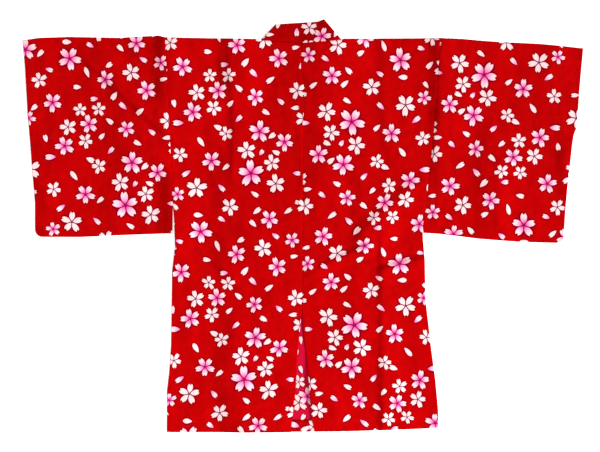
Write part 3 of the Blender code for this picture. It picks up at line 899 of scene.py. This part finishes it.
def lay_cloth(name, columns, rows, place, stamps, finish, keep=whole):
    """A grid of cloth, laid by place(column, row) and printed with the stamps."""
    spots = [place(column, row) for column in range(columns + 1) for row in range(rows + 1)]
    x, y, level, over, under, u, v = np.array(spots).T
    z = level + over * relief(x, y) + under * under_relief(x, y)
    cloth = bmesh.new()
    bmesh.ops.create_grid(cloth, x_segments=columns, y_segments=rows, size=0.5)
    uv = cloth.loops.layers.uv.new("cloth")
    dropped = []
    for face in cloth.faces:
        middle = face.calc_center_median()
        if not keep(int((middle.x + 0.5) * columns), int((middle.y + 0.5) * rows)):
            dropped.append(face)
            continue
        for loop in face.loops:
            column = round((loop.vert.co.x + 0.5) * columns)
            row = round((loop.vert.co.y + 0.5) * rows)
            at = column * (rows + 1) + row
            loop[uv].uv = (u[at], v[at])
    bmesh.ops.delete(cloth, geom=dropped, context="FACES")
    for point in cloth.verts:
        column = round((point.co.x + 0.5) * columns)
        row = round((point.co.y + 0.5) * rows)
        at = column * (rows + 1) + row
        point.co = (x[at], y[at], z[at])
    bmesh.ops.remove_doubles(cloth, verts=cloth.verts, dist=0.00001)
    bmesh.ops.recalc_face_normals(cloth, faces=cloth.faces)
    # the right side faces out, which is known at the highest point of each cloth
    highest = max(cloth.faces, key=lambda face: face.calc_center_median().z)
    if highest.normal.z < 0:
        bmesh.ops.reverse_faces(cloth, faces=cloth.faces)
    mesh = bpy.data.meshes.new(name)
    cloth.to_mesh(mesh)
    cloth.free()
    print_motifs(mesh, stamps)
    mesh.materials.append(finish)
    mesh.materials.append(WRONG_SIDE_OF_CLOTH)
    mesh.shade_smooth()
    piece = bpy.data.objects.new(name, mesh)
    scene.collection.objects.link(piece)
    wall = piece.modifiers.new("Wall", "SOLIDIFY")
    wall.thickness = COTTON
    wall.offset = 0.0
    wall.use_rim = True
    wall.material_offset = 1
    area = sum(face.area for face in mesh.polygons)
    print(name, len(mesh.polygons), "faces,", round(area, 3), "square metres")
    return piece


def belongs(piece, node):
    """Hangs this cloth under the root and hides the CAD node that it stands for."""
    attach(piece, "root")
    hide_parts(node)


def even_steps(length, step):
    """Shares from 0 to 1 in nearly equal steps of about this size."""
    count = max(2, round(length / step))
    return [number / count for number in range(count + 1)]


DITCH_DEPTH = 0.00028
DITCH_REACH = 0.0028
PUCKER_HEIGHT = 0.0004
PUCKER_REACH = 0.009


def ditch(away):
    """How far cloth dips at a seam line, this far away from it."""
    return -DITCH_DEPTH * math.exp(-((away / DITCH_REACH) ** 2))


def pucker(along, away):
    """Small gathers that a seam's thread pulls into the cloth beside it."""
    gather = noise.noise(Vector((along * 95, 0.5, 7.3)))
    return PUCKER_HEIGHT * math.exp(-((away / PUCKER_REACH) ** 2)) * gather


print("Cloth helper ready")

# %% [markdown]
# ## The body
# A body half is one length of cloth: it starts at the front hem, goes up and over the
# shoulder, and comes down the back. Beside the neck only the back is there. The side seam
# joins front and back below the side opening, so there the two edges meet in a round rim.
# Above it they are free, for the armhole. Hems are turned in 2.8 cm and lie inside.

# %% Body halves
OVERLAP_EDGE = 0.077
OVERLAP_SEAM = 0.0738
POINT_Y = 0.213
POINT_X = 0.078
SIDE_SEAM_TOP = -0.045
HEM_DEPTH = 0.028
TURN = 0.00045
SEAM_BEND = 0.0072
BEND_FOOT = 0.330
BEND_RISE = 0.055
BACK_STEP = 0.0035
FRONT_STEP = 0.008
SIDE_STEP = 0.0038
# the back's neck edge lies this far up and down, under the band that is sewn to it
NECK_UP, NECK_DOWN = 0.0005, 0.0006
Half = namedtuple("Half", "hand side armhole shoulder vent neck band_foot")
LEFT_HALF = Half(-1, LEFT_SIDE, LEFT_ARMHOLE, LEFT_SHOULDER, VENT_LEFT, 0.101, 0.0985)
RIGHT_HALF = Half(1, RIGHT_SIDE, RIGHT_ARMHOLE, RIGHT_SHOULDER, VENT_RIGHT, 0.0934, 0.0905)
FOLD_ANGLES = (-67.5, -45, -22.5, 0, 22.5, 45, 67.5)
TURN_ANGLES = (60, 20, -20, -60)
TUCKS = (0.001, 0.007, 0.014, 0.021, HEM_DEPTH)


def front_edge(half, y):
    """Inner edge of a front, out from the middle: along the neck band, then the overlap panel."""
    if y > POINT_Y:
        top = height_at(BACK_NECK, half.band_foot)
        edge = mix(POINT_X, half.band_foot, (y - POINT_Y) / (top - POINT_Y))
    else:
        foot = height_at(HEM, 0.0)
        edge = mix(OVERLAP_SEAM, POINT_X, (y - foot) / (POINT_Y - foot))
    return edge


def seam_bend(y):
    """Near the neck the middle seam is pulled a few millimetres to the left."""
    return -SEAM_BEND * ease((y - BEND_FOOT) / BEND_RISE)


def turned_hem(layer, value, y, z, lift):
    """y, z and run of a hem's cloth: round its edge, then back inside, above it or below."""
    if layer.endswith("turn"):
        turn = math.radians(value)
        y -= TURN * math.cos(turn)
        return y, z + (lift + TURN * math.sin(turn)), y
    return y + value, z + 2 * lift, y - value


def lay_body(name, half, front_z, stamps, print_place):
    hand = half.hand
    side_foot = height_at(HEM, half.armhole.foot_x) + TURN
    side_top = height_at(half.shoulder, half.armhole.top_x) - LEVEL / 2
    middle_foot = height_at(HEM, 0.0) + TURN
    middle_top = height_at(BACK_NECK, 0.0)
    back_shares = even_steps(side_top - side_foot, BACK_STEP)
    front_shares = even_steps(side_top - side_foot, FRONT_STEP)
    layers = [("front tuck", value) for value in reversed(TUCKS)]
    layers += [("front turn", angle) for angle in TURN_ANGLES]
    layers += [("front", share) for share in front_shares]
    layers += [("fold", angle) for angle in FOLD_ANGLES]
    layers += [("back", share) for share in reversed(back_shares)]
    layers += [("back turn", angle) for angle in TURN_ANGLES]
    layers += [("back tuck", value) for value in TUCKS]
    joint = (SIDE_SEAM_TOP - side_foot) / (side_top - side_foot)

    # columns: a rim, cloth out to the line of the neck's edge, then on to the middle seam
    near_seam = (0.0, 0.0005, 0.0012, 0.0025, 0.0045)
    side_width = abs(half.armhole.foot_x) - half.neck
    wide = [share for share in even_steps(side_width, SIDE_STEP) if share > 0.03]
    outer_shares = [None] * len(near_seam) + wide
    neck_column = len(outer_shares) - 1
    to_middle = [share for share in even_steps(half.neck, SIDE_STEP) if 0 < share < 0.96]
    to_middle += [1 - away / half.neck for away in (0.0028, 0.0014, 0.0)]
    last = neck_column + len(to_middle)

    def column_x(column, layer, share):
        edge = edge_x(half.side, half.armhole, mix(side_foot, side_top, share))
        if column < len(near_seam):
            return edge - hand * near_seam[column]
        inner = hand * half.neck
        if layer.startswith("front") and share < 1:
            inner = hand * front_edge(half, mix(middle_foot, middle_top, share))
        if column <= neck_column:
            return mix(edge, inner, outer_shares[column])
        middle_y = mix(middle_foot, middle_top, share)
        middle = x_at(half.vent, middle_y) + seam_bend(middle_y)
        return mix(hand * half.neck, middle, to_middle[column - neck_column - 1])

    def place(column, row):
        layer, value = layers[row]
        share = value if layer in ("front", "back") else (1.0 if layer == "fold" else 0.0)
        front = layer.startswith("front")
        x = column_x(column, layer, share)
        low_z, high_z = front_z(x), back_z(x)
        radius = (high_z - low_z) / 2
        top = height_at(half.shoulder, x) - radius
        if column > neck_column:
            top = height_at(BACK_NECK, x)
        elif column == neck_column:
            top = min(top, height_at(BACK_NECK, x))
        y = mix(height_at(HEM, x) + TURN, top, share)
        z = low_z if front else high_z
        over, under = (0.0, 1.0) if front else (1.0, 0.0)
        run = y
        if layer == "fold":
            turn = math.radians(value)
            y = top + radius * math.cos(turn)
            z = low_z + radius * (1 + math.sin(turn))
            over = (1 + math.sin(turn)) / 2
            under = 1 - over
            run = top + radius * (math.pi / 2 - turn)
        elif layer.endswith(("turn", "tuck")):
            y, z, run = turned_hem(layer, value, y, z, TURN if front else -TURN)
        if front:
            run = 2 * top + math.pi * radius - run
        away_side = near_seam[column] if column < len(near_seam) else 1.0
        sewn_side = share <= joint and away_side < LEVEL / 2
        if sewn_side:
            # front and back meet in a round rim at the side seam
            inward = 1 - away_side / (LEVEL / 2)
            middle_z = (low_z + high_z) / 2
            bulge = math.sqrt(max(0.0, 1 - inward * inward))
            z = mix(middle_z, z, bulge)
            over = mix(0.5, over, bulge)
            under = mix(0.0, under, bulge)
        if not front and share > joint:
            z += over * (ditch(away_side) + pucker(y, away_side))
        if layer == "back" and share == 1 and column > neck_column:
            y += NECK_UP
            z -= NECK_DOWN
        if not front and column > neck_column:
            away_middle = (1 - to_middle[column - neck_column - 1]) * half.neck
            z += over * (ditch(away_middle) * 0.8 + pucker(y + 3, away_middle))
        return Spot(x, y, z, over, under, *print_place(x, run))

    def keep(column, row):
        layer, following = layers[row][0], layers[row + 1][0]
        at_tuck = any(each.endswith(("tuck", "turn")) for each in (layer, following))
        if at_tuck and column < len(near_seam):
            return False
        if column < neck_column:
            return True
        return layer.startswith("back") and following.startswith("back")

    return lay_cloth(name, last, len(layers) - 1, place, stamps, RIGHT_SIDE_OF_CLOTH, keep)


def shoulder_take_up(y):
    """The cloth is drawn up a little near the shoulder, so the print sits higher there."""
    return y - 0.032 * max(0.0, y - 0.227)


# how far the print of the right half wanders sideways, as its cloth was cut and pulled
RIGHT_DRIFT = (
    Up(-0.46, 0.009),
    Up(-0.38, 0.007),
    Up(-0.31, 0.0055),
    Up(-0.24, 0.0035),
    Up(-0.17, -0.004),
    Up(-0.10, -0.0075),
    Up(-0.02, -0.0055),
    Up(0.05, -0.004),
    Up(0.20, -0.003),
    Up(0.27, -0.005),
    Up(0.41, -0.009),
)


def bump(value):
    """1 at 0, and 0 from -1 down and from 1 up."""
    return ease(1 - abs(value))


def left_print(x, run):
    pulled = 0.007 * bump((x + 0.285) / 0.09) * bump((run + 0.12) / 0.13)
    aside = 0.0028 * bump((x + 0.16) / 0.12) * bump((run + 0.11) / 0.20)
    return x - x_at(VENT_LEFT, run) - aside, shoulder_take_up(run) - pulled


def right_print(x, run):
    beside = x - x_at(VENT_RIGHT, run)
    lean = 0.043 + 0.047 * ease(-run / 0.10)
    raised = 0.0030 * ease((-0.12 - run) / 0.06)
    raised += 0.0042 * bump((run - 0.225) / 0.11) * bump((x - 0.03) / 0.16)
    return beside - x_at(RIGHT_DRIFT, run), shoulder_take_up(run) - lean * beside - raised


# one petal is cut through by the middle seam, below the neck
cut_petal = stamp(Petal(PINK_PETAL, -0.85, 37.7, 262, 1.5, 0.6), 0, (0, 0))
left_stamps = chart_stamps(0, (0, 0), -2, 3) + [cut_petal]
right_stamps = chart_stamps(180, (-0.005, 0.3662), -3, 3)
body_left = lay_body("body_left_cloth", LEFT_HALF, left_front_z, left_stamps, left_print)
body_right = lay_body("body_right_cloth", RIGHT_HALF, right_front_z, right_stamps, right_print)
belongs(body_left, "body_left")
belongs(body_right, "body_right")

# %% [markdown]
# ## The sleeves
# A sleeve is one length of cloth folded at the top, so it has no seam there. It is sewn along
# its foot and round a small outer corner up to the opening for the hand. The inner edge is
# sewn to the body, but its lowest part is free, as on all kimono for women.

# %% Sleeves
CUFF_OPENING = 0.206
SLEEVE_CORNER = 0.017
CORNER_ANGLES = (0, 15, 30, 45, 60, 75, 90)
SLEEVE_WIDTH = 0.31
OVER_STEP = 0.0032
UNDER_STEP = 0.0075
Sleeve = namedtuple("Sleeve", "hand top foot inside armhole outside")
LEFT_SLEEVE = Sleeve(
    -1, LEFT_SLEEVE_TOP, LEFT_SLEEVE_FOOT, LEFT_SLEEVE_INSIDE, LEFT_ARMHOLE, LEFT_SLEEVE_OUTSIDE
)
RIGHT_SLEEVE = Sleeve(
    1, RIGHT_SLEEVE_TOP, RIGHT_SLEEVE_FOOT, RIGHT_SLEEVE_INSIDE, RIGHT_ARMHOLE, RIGHT_SLEEVE_OUTSIDE
)


def lay_sleeve(name, sleeve, stamps, print_place):
    hand, top, foot, inside, armhole, outside = sleeve
    radius = LEVEL / 2
    rim = radius + RIM_IN
    outer, inner = (0, -1) if hand < 0 else (-1, 0)
    outer_foot, outer_top = foot[outer].y, top[outer].y
    inner_foot, inner_top = foot[inner].y + rim, top[inner].y - radius
    over_shares = even_steps(inner_top - inner_foot, OVER_STEP)
    under_shares = even_steps(inner_top - inner_foot, UNDER_STEP)
    joint = 1 - CUFF_OPENING / (outer_top - outer_foot)
    layers = [("seam", 0.0), ("seam under", -45)]
    layers += [("under", share) for share in under_shares]
    layers += [("fold", angle) for angle in FOLD_ANGLES]
    layers += [("over", share) for share in reversed(over_shares)]
    layers += [("seam over", 45), ("seam", 0.0)]
    near_seam = (0.0, 0.0012, 0.0026, 0.0048)
    wide = [share for share in even_steps(SLEEVE_WIDTH, OVER_STEP) if share > 0.022]
    straight = len(near_seam) + len(wide)
    last = straight + len(CORNER_ANGLES)

    def corner_turn(column):
        """How far round the corner this column's bottom end lies."""
        step = min(column, last - 1) - straight
        return math.radians(CORNER_ANGLES[step]) if step >= 0 else 0.0

    def flat_point(column, share):
        """Point of the flat cloth, inside the sewn rim."""
        inner_x = edge_x(inside, armhole, mix(inner_foot, inner_top, share))
        outer_x = x_at(outside, mix(outer_foot, outer_top, share)) - hand * rim
        before_corner = outer_x - hand * SLEEVE_CORNER
        if column < len(near_seam):
            x = inner_x + hand * near_seam[column]
        elif column < straight:
            x = mix(inner_x, before_corner, wide[column - len(near_seam)])
        else:
            x = mix(before_corner, outer_x, math.sin(corner_turn(column)))
        low = height_at(foot, x) + rim + SLEEVE_CORNER * (1 - math.cos(corner_turn(column)))
        high = height_at(top, x) - radius
        return x, mix(low, high, share)

    def place(column, row):
        layer, value = layers[row]
        share = value if layer in ("under", "over") else (1.0 if layer == "fold" else 0.0)
        x, y = flat_point(min(column, last - 1), share)
        middle = REST + radius
        high = height_at(top, x) - radius
        run_under = 2 * high + math.pi * radius - y
        if layer.startswith("seam"):
            turn = corner_turn(column)
            tilt = math.radians(value)
            out = radius * math.cos(tilt)
            spot_x, spot_y = x + hand * out * math.sin(turn), y - out * math.cos(turn)
            run = y - out if layer != "seam under" else run_under + out
            over = (1 + math.sin(tilt)) / 2
            z = middle + radius * math.sin(tilt)
            return Spot(spot_x, spot_y, z, over * 0.5, 0.0, *print_place(x, run))
        sewn = column == last and layer != "fold" and share <= joint
        over, under = (1.0, 0.0) if layer == "over" else (0.0, 1.0)
        run = y if layer == "over" else run_under
        if sewn:
            rim_x = x + hand * radius
            return Spot(rim_x, y, middle, 0.5, 0.0, *print_place(rim_x, run))
        if column == last:
            x += hand * rim
        if layer == "fold":
            turn = math.radians(value)
            over = (1 + math.sin(turn)) / 2
            run = high + radius * (math.pi / 2 - turn)
            y += radius * math.cos(turn)
            z = middle + radius * math.sin(turn)
            return Spot(x, y, z, over, 0.0, *print_place(x, run))
        z = REST if layer == "under" else REST + LEVEL
        if layer == "over" and column < len(near_seam) and y > armhole.foot_y:
            z += ditch(near_seam[column]) + pucker(y + 5, near_seam[column])
        return Spot(x, y, z, over, under, *print_place(x, run))

    def keep(column, row):
        at_seam = row in (0, 1, len(layers) - 3, len(layers) - 2)
        return not (at_seam and column == last - 1)

    return lay_cloth(name, last, len(layers) - 1, place, stamps, RIGHT_SIDE_OF_CLOTH, keep)


def left_sleeve_print(x, run):
    """Its upper half is pulled up and towards the cuff a little."""
    aside = 0.0038 * bump((x + 0.40) / 0.10) * ease((run - 0.25) / 0.07)
    return x + aside, run - 0.0028 * ease((run - 0.12) / 0.05)


def right_sleeve_print(x, run):
    """Its lower half is pulled towards the body, and the outer corner down."""
    corner = ease((x - 0.50) / 0.06) * ease((0.16 - run) / 0.06)
    raised = bump((x - 0.43) / 0.09) * bump((run - 0.22) / 0.11)
    u = x + 0.056 * max(0.0, 0.20 - run) - 0.0026 * corner + 0.0024 * raised
    return u, run + 0.0046 * corner - 0.0028 * raised


left_stamps = chart_stamps(2.2, (-0.2961, -0.0717), -1, 3)
right_stamps = chart_stamps(177.6, (0.2939, -0.0021), -3, 1)
sleeve_left = lay_sleeve("sleeve_left_cloth", LEFT_SLEEVE, left_stamps, left_sleeve_print)
sleeve_right = lay_sleeve("sleeve_right_cloth", RIGHT_SLEEVE, right_stamps, right_sleeve_print)
belongs(sleeve_left, "sleeve_left")
belongs(sleeve_right, "sleeve_right")

# %% [markdown]
# ## The overlap panels
# A narrow panel is sewn to each front and reaches past the middle. Its top is cut on a slant
# along the neck band. The right one is seen through the vent of the back, from its wrong side,
# with its hem turned up over it, so the printed side shows again along the foot.

# %% Overlap panels
BAND_END_Y = -0.160
OVERLAP_WIDTH = 0.154
OVERLAP_LENGTH = 0.60
OVERLAP_STEP = 0.005


def lay_overlap(name, half, cloth_z, stamps):
    shares = even_steps(OVERLAP_LENGTH, OVERLAP_STEP)
    layers = [("tuck", value) for value in reversed(TUCKS)]
    layers += [("turn", angle) for angle in TURN_ANGLES]
    layers += [("flat", share) for share in shares]
    columns = even_steps(OVERLAP_WIDTH, OVERLAP_STEP)

    def place(column, row):
        layer, value = layers[row]
        share = value if layer == "flat" else 0.0
        across = columns[column]
        guess = mix(height_at(HEM, 0.0), mix(POINT_Y, BAND_END_Y, across), share)
        inner = front_edge(half, min(guess, POINT_Y))
        distance = mix(inner, -OVERLAP_EDGE, across)
        along_band = (POINT_X - distance) / (POINT_X + OVERLAP_EDGE)
        top = mix(POINT_Y, BAND_END_Y, along_band)
        x = half.hand * distance
        y = mix(height_at(HEM, x) + TURN, top, share)
        z = cloth_z(x)
        run = y
        if layer != "flat":
            y, z, run = turned_hem(layer, value, y, z, TURN)
        return Spot(x, y, z, 0.0, 0.6, x, run)

    return lay_cloth(name, len(columns) - 1, len(layers) - 1, place, stamps, RIGHT_SIDE_OF_CLOTH)


hidden_stamps = chart_stamps(0, (0.30, 0.1), -2, 1)
okumi_left = lay_overlap("okumi_left_cloth", LEFT_HALF, left_front_z, hidden_stamps)

# what shows inside the vent, in centimetres from the middle; the turned hem starts at -49.5
VENT_MOTIFS = (
    Petal(WHITE_PETAL, -0.5, -27.5, 95, 2.0, 0.9),
    Petal(WHITE_PETAL, -1.5, -30.5, 80, 1.8, 1.0),
    Petal(WHITE_PETAL, -0.5, -34.5, 110, 2.0, 1.1),
    Flower(WHITE_FLOWER, -1.0, -37.5, 1.7, 20),
    Flower(PINK_FLOWER, 1.0, -41.0, 2.3, -5),
    Flower(WHITE_FLOWER, -1.0, -42.5, 2.2, 15),
    Petal(WHITE_PETAL, 0.0, -46.0, 60, 1.8, 1.2),
    Petal(PINK_PETAL, -2.0, -51.0, 200, 2.3, 1.5),
    Petal(WHITE_PETAL, 0.5, -50.0, 150, 2.2, 1.4),
    Flower(WHITE_FLOWER, 2.5, -50.5, 1.9, 10),
)
vent_stamps = [stamp(motif, 0, (0, 0)) for motif in VENT_MOTIFS]
for each in chart_stamps(0, (0.16, 0.2), -2, 1):
    if abs(each.mid_x) > 0.05 or each.mid_y > -0.24:
        vent_stamps.append(each)
okumi_right = lay_overlap("okumi_right_cloth", RIGHT_HALF, right_front_z, vent_stamps)
belongs(okumi_left, "okumi_left")
belongs(okumi_right, "okumi_right")

# %% [markdown]
# ## The neck band
# One long band goes up the left front, round the back of the neck and down the right front.
# It is cloth folded double along its length, so it is laid as a flat tube: down its inner
# face, round the fold at its free edge, and back along its outer face. At the back it stands
# up past the shoulders, and at both slanted ends it turns over to the front.

# %% Neck band
BAND_WIDTH = 0.048
BAND_TURN_WIDTH = 0.042
BAND_LEFT_FOOT = 0.0985
BAND_RIGHT_FOOT = 0.0905
BAND_SAG = 0.0016
BAND_HALF = 0.0005
FRONT_RUN, FRONT_RUN_STEP = 0.64, 0.006
BACK_RUN, BACK_RUN_STEP = 0.15, 0.0045
# the corners of the flat tube are rounded by this share of its width
ROUND_SHARE = 0.012
BandEnd = namedtuple("BandEnd", "foot top front_z")


def lay_band(name, stamps):
    def band_end(foot_x, corner, front_z):
        foot = Vector((foot_x, height_at(BACK_NECK, foot_x)))
        return BandEnd(foot, Vector((corner.x, corner.y)), front_z)

    ends = {
        -1: band_end(-BAND_LEFT_FOOT, BAND_TOP[0], REST + BAND_HALF),
        1: band_end(BAND_RIGHT_FOOT, BAND_TOP[-1], REST + BAND_HALF + LEVEL),
    }
    seam_z = REST + BAND_HALF + 2 * LEVEL

    def standing(share, across):
        """Back part: share runs from the left end to the right end."""
        low = ends[-1].foot.lerp(ends[1].foot, share)
        low.y = height_at(BACK_NECK, low.x)
        high = ends[-1].top.lerp(ends[1].top, share)
        high.y = height_at(BAND_TOP, high.x)
        point = low.lerp(high, across)
        return Vector((point.x, point.y, seam_z - BAND_SAG * across)), Vector((0, 0, 1))

    def turning(hand, angle, across):
        """Slanted end, where the band turns over to the front."""
        end = ends[hand]
        radius = (seam_z - BAND_SAG * across - end.front_z) / 2
        slant = (end.top - end.foot).normalized()
        outward = Vector((hand * slant.y, -hand * slant.x, 0))
        turn = math.radians(angle)
        level = end.foot.lerp(end.top, across)
        centre = Vector((level.x, level.y, end.front_z + radius))
        away = outward * math.cos(turn) + Vector((0, 0, 1)) * math.sin(turn)
        return centre + away * radius, away

    def hanging(hand, share, across):
        """Front part: share runs from the slanted end down to the end of the band."""
        end = ends[hand]
        point = Vector((hand * POINT_X, POINT_Y))
        finish = Vector((-hand * OVERLAP_EDGE, BAND_END_Y))
        neck_run, front_run = (point - end.foot).length, (finish - point).length
        along_neck = (point - end.foot).normalized()
        along_front = (finish - point).normalized()
        bend = neck_run / (neck_run + front_run)
        if share < bend:
            seam = end.foot.lerp(point, share / bend)
        else:
            seam = point.lerp(finish, (share - bend) / (1 - bend))
        along = along_neck.lerp(along_front, ease((share - bend) / 0.06 + 0.5)).normalized()
        inward = Vector((hand * along.y, -hand * along.x))
        slant = (end.top - end.foot).normalized()
        inward = slant.lerp(inward, ease(share / (bend * 0.6))).normalized()
        width = mix(BAND_TURN_WIDTH, BAND_WIDTH, min(1.0, share / bend))
        spot = seam + inward * (width * across)
        return Vector((spot.x, spot.y, end.front_z)), Vector((0, 0, -1))

    front_shares = even_steps(FRONT_RUN, FRONT_RUN_STEP)
    back_shares = even_steps(BACK_RUN, BACK_RUN_STEP)
    sections = [("left front", share) for share in reversed(front_shares)]
    sections += [("left turn", angle) for angle in FOLD_ANGLES]
    sections += [("back", share) for share in back_shares]
    sections += [("right turn", angle) for angle in reversed(FOLD_ANGLES)]
    sections += [("right front", share) for share in front_shares]
    # round the tube: the inner face from the seam to the fold, then the outer face back
    steps = even_steps(BAND_WIDTH, BACK_RUN_STEP)
    ring = [(share, -1.0) for share in steps] + [(1.0, 0.0)]
    ring += [(share, 1.0) for share in reversed(steps)] + [(0.0, 0.0)]

    def middle_of(part, value, across):
        if part == "back":
            return standing(value, across)
        hand = -1 if part.startswith("left") else 1
        if part.endswith("turn"):
            return turning(hand, value, across)
        return hanging(hand, value, across)

    lengths = [0.0]
    for first, second in zip(sections, sections[1:]):
        step = middle_of(*second, 0.5)[0] - middle_of(*first, 0.5)[0]
        lengths.append(lengths[-1] + step.length)
    first_back = len(front_shares) + len(FOLD_ANGLES)
    last_back = first_back + len(back_shares) - 1

    def place(column, row):
        across, face = ring[column]
        part, value = sections[row]
        reach = mix(ROUND_SHARE, 1 - ROUND_SHARE, across)
        if face == 0.0:
            reach = across
        spot, outward = middle_of(part, value, reach)
        spot = spot + outward * (BAND_HALF * face)
        back = 1.0 if part == "back" else 0.0
        if part.endswith("turn"):
            back = (1 + math.sin(math.radians(value))) / 2
        # the cloth turns over at its slanted ends, so its metres run on from there
        if row < first_back:
            u = mix(ends[-1].foot.x, ends[-1].top.x, across) + lengths[row] - lengths[first_back]
        elif row > last_back:
            u = mix(ends[1].foot.x, ends[1].top.x, across) + lengths[row] - lengths[last_back]
        else:
            u = spot.x
        v = BAND_WIDTH * (across if face >= 0 else 2 - across)
        seam_dip = ditch(BAND_WIDTH * across) * back * (1 if face > 0 else 0)
        return Spot(spot.x, spot.y, spot.z + seam_dip, back * mix(1.0, 0.35, across), 0.0, u, v)

    # the band's cotton carries painted shade: its red ground is darker all over
    return lay_cloth(name, len(ring) - 1, len(sections) - 1, place, stamps, BAND_CLOTH_PAINTED_SHADE)


BAND_MOTIFS = (
    Flower(WHITE_FLOWER, 1.5, 3.5, 2.0, 0),
    Flower(PINK_FLOWER, 4.5, 1.2, 2.3, -20),
    Petal(PINK_PETAL, -1.5, 2.5, 270, 2.2, 1.3),
    Petal(WHITE_PETAL, -8.0, 1.7, 185, 2.1, 1.3),
    Petal(WHITE_PETAL, -6.0, 4.5, 80, 2.0, 1.2),
    Petal(WHITE_PETAL, 8.0, 1.6, 60, 2.2, 1.4),
    Petal(WHITE_PETAL, 0.5, 0.0, 20, 1.4, 1.0),
    Petal(PINK_PETAL, 2.0, 0.0, 190, 1.2, 0.8),
)
band_stamps = [stamp(motif, 0, (0, 0)) for motif in BAND_MOTIFS]
for side_shift in (0.18, -0.62):
    band_stamps += [
        each for each in chart_stamps(-90, (side_shift, -0.08), 0, 1) if abs(each.mid_x) > 0.105
    ]
collar = lay_band("collar_cloth", band_stamps)
belongs(collar, "collar")

# %% [markdown]
# ## Hand stitches
# Hems on such a kimono are sewn by hand from the inside, so on the right side each stitch
# shows only as a grain of thread, about two millimetres long and a centimetre from the next.
# They run above the hem, beside the vent, round the sleeves' openings and down the free edges
# under the arms. A grain is a small sphere, pulled long and half sunk in the cloth.

# %% Stitches
STITCH = Vector((0.0011, 0.0003, 0.0003))
STITCH_STEP = 0.011
HEM_LINE = 0.0265
EDGE_LINE = 0.011
STITCH_LIFT = 0.0001
# from where to where the rows run: x above the hem, y beside the vent and on a free edge
HEM_ROW = (0.040, 0.312)
VENT_ROW = (-0.455, -0.215)
FREE_EDGE_FOOT = -0.008
CUFF_TOP_LEFT_OUT = 0.012
THREAD_RED = (0.50, 0.001, 0.003)
THREAD_SHADE = (0.30, 0.0005, 0.002)


def thread_material():
    """Twisted red thread: fine slanted bands across each stitch."""
    material = bpy.data.materials.new("red_thread")
    material.use_nodes = True
    tree = material.node_tree
    shader = tree.nodes["Principled BSDF"]
    place = tree.nodes.new("ShaderNodeTexCoord")
    bands = tree.nodes.new("ShaderNodeTexWave")
    bands.bands_direction = "DIAGONAL"
    bands.inputs["Scale"].default_value = 900
    tree.links.new(place.outputs["Object"], bands.inputs["Vector"])
    twist = Wire(tree, bands.outputs["Fac"])
    dyed = blend_colours(tree, twist, THREAD_SHADE, THREAD_RED)
    tree.links.new(dyed, shader.inputs["Base Color"])
    bump = tree.nodes.new("ShaderNodeBump")
    bump.inputs["Distance"].default_value = 0.0001
    tree.links.new(twist.socket, bump.inputs["Height"])
    tree.links.new(bump.outputs["Normal"], shader.inputs["Normal"])
    shader.inputs["Roughness"].default_value = 0.7
    return material


RED_THREAD = thread_material()


def sew(name, lines, level):
    """Stitches along lines of (x, y) places; level(x) is the flat height of the cloth there."""
    stitches = bmesh.new()
    count = 0
    for line, turn in lines:
        rises = relief(np.array([x for x, y in line]), np.array([y for x, y in line]))
        for (x, y), rise in zip(line, rises):
            spot = Vector((x, y, level(x) + rise + COTTON / 2 + STITCH_LIFT))
            matrix = Matrix.LocRotScale(spot, Euler((0, 0, math.radians(turn))), STITCH)
            bmesh.ops.create_uvsphere(stitches, u_segments=8, v_segments=5, radius=1, matrix=matrix)
            count += 1
    mesh = bpy.data.meshes.new(name)
    stitches.to_mesh(mesh)
    stitches.free()
    mesh.shade_smooth()
    mesh.materials.append(RED_THREAD)
    piece = bpy.data.objects.new(name, mesh)
    scene.collection.objects.link(piece)
    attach(piece, "root")
    print(name, count, "stitches")
    return piece


def places(low, high):
    """Where the stitches of a row lie, from low to high."""
    return [low + STITCH_STEP * number for number in range(int((high - low) / STITCH_STEP) + 1)]


def sleeve_level(x):
    """The upper cloth of a sleeve lies at one level all over."""
    return REST + LEVEL


def body_lines(hand, vent):
    """Above the hem from the side seam to the vent, then up beside the vent."""
    hem = [(hand * x, height_at(HEM, hand * x) + HEM_LINE) for x in places(*HEM_ROW)]
    beside = [(x_at(vent, y) + hand * EDGE_LINE, y) for y in places(*VENT_ROW)]
    return [(hem, 0), (beside, 90)]


def sleeve_lines(sleeve):
    """Round the opening for the hand, and down the free edge under the arm."""
    hand, armhole = sleeve.hand, sleeve.armhole
    top = sleeve.top[0 if hand < 0 else -1].y
    cuff = [
        (x_at(sleeve.outside, y) - hand * EDGE_LINE, y)
        for y in places(top - CUFF_OPENING, top - CUFF_TOP_LEFT_OUT)
    ]
    free = [
        (edge_x(sleeve.inside, armhole, y) + hand * EDGE_LINE, y)
        for y in places(FREE_EDGE_FOOT, armhole.foot_y)
    ]
    return [(cuff, 90), (free, 90)] if len(free) > 1 else [(cuff, 90)]


body_left_stitches = sew("body_left_stitches", body_lines(-1, VENT_LEFT), back_z)
body_right_stitches = sew("body_right_stitches", body_lines(1, VENT_RIGHT), back_z)
sleeve_left_stitches = sew("sleeve_left_stitches", sleeve_lines(LEFT_SLEEVE), sleeve_level)
sleeve_right_stitches = sew("sleeve_right_stitches", sleeve_lines(RIGHT_SLEEVE), sleeve_level)
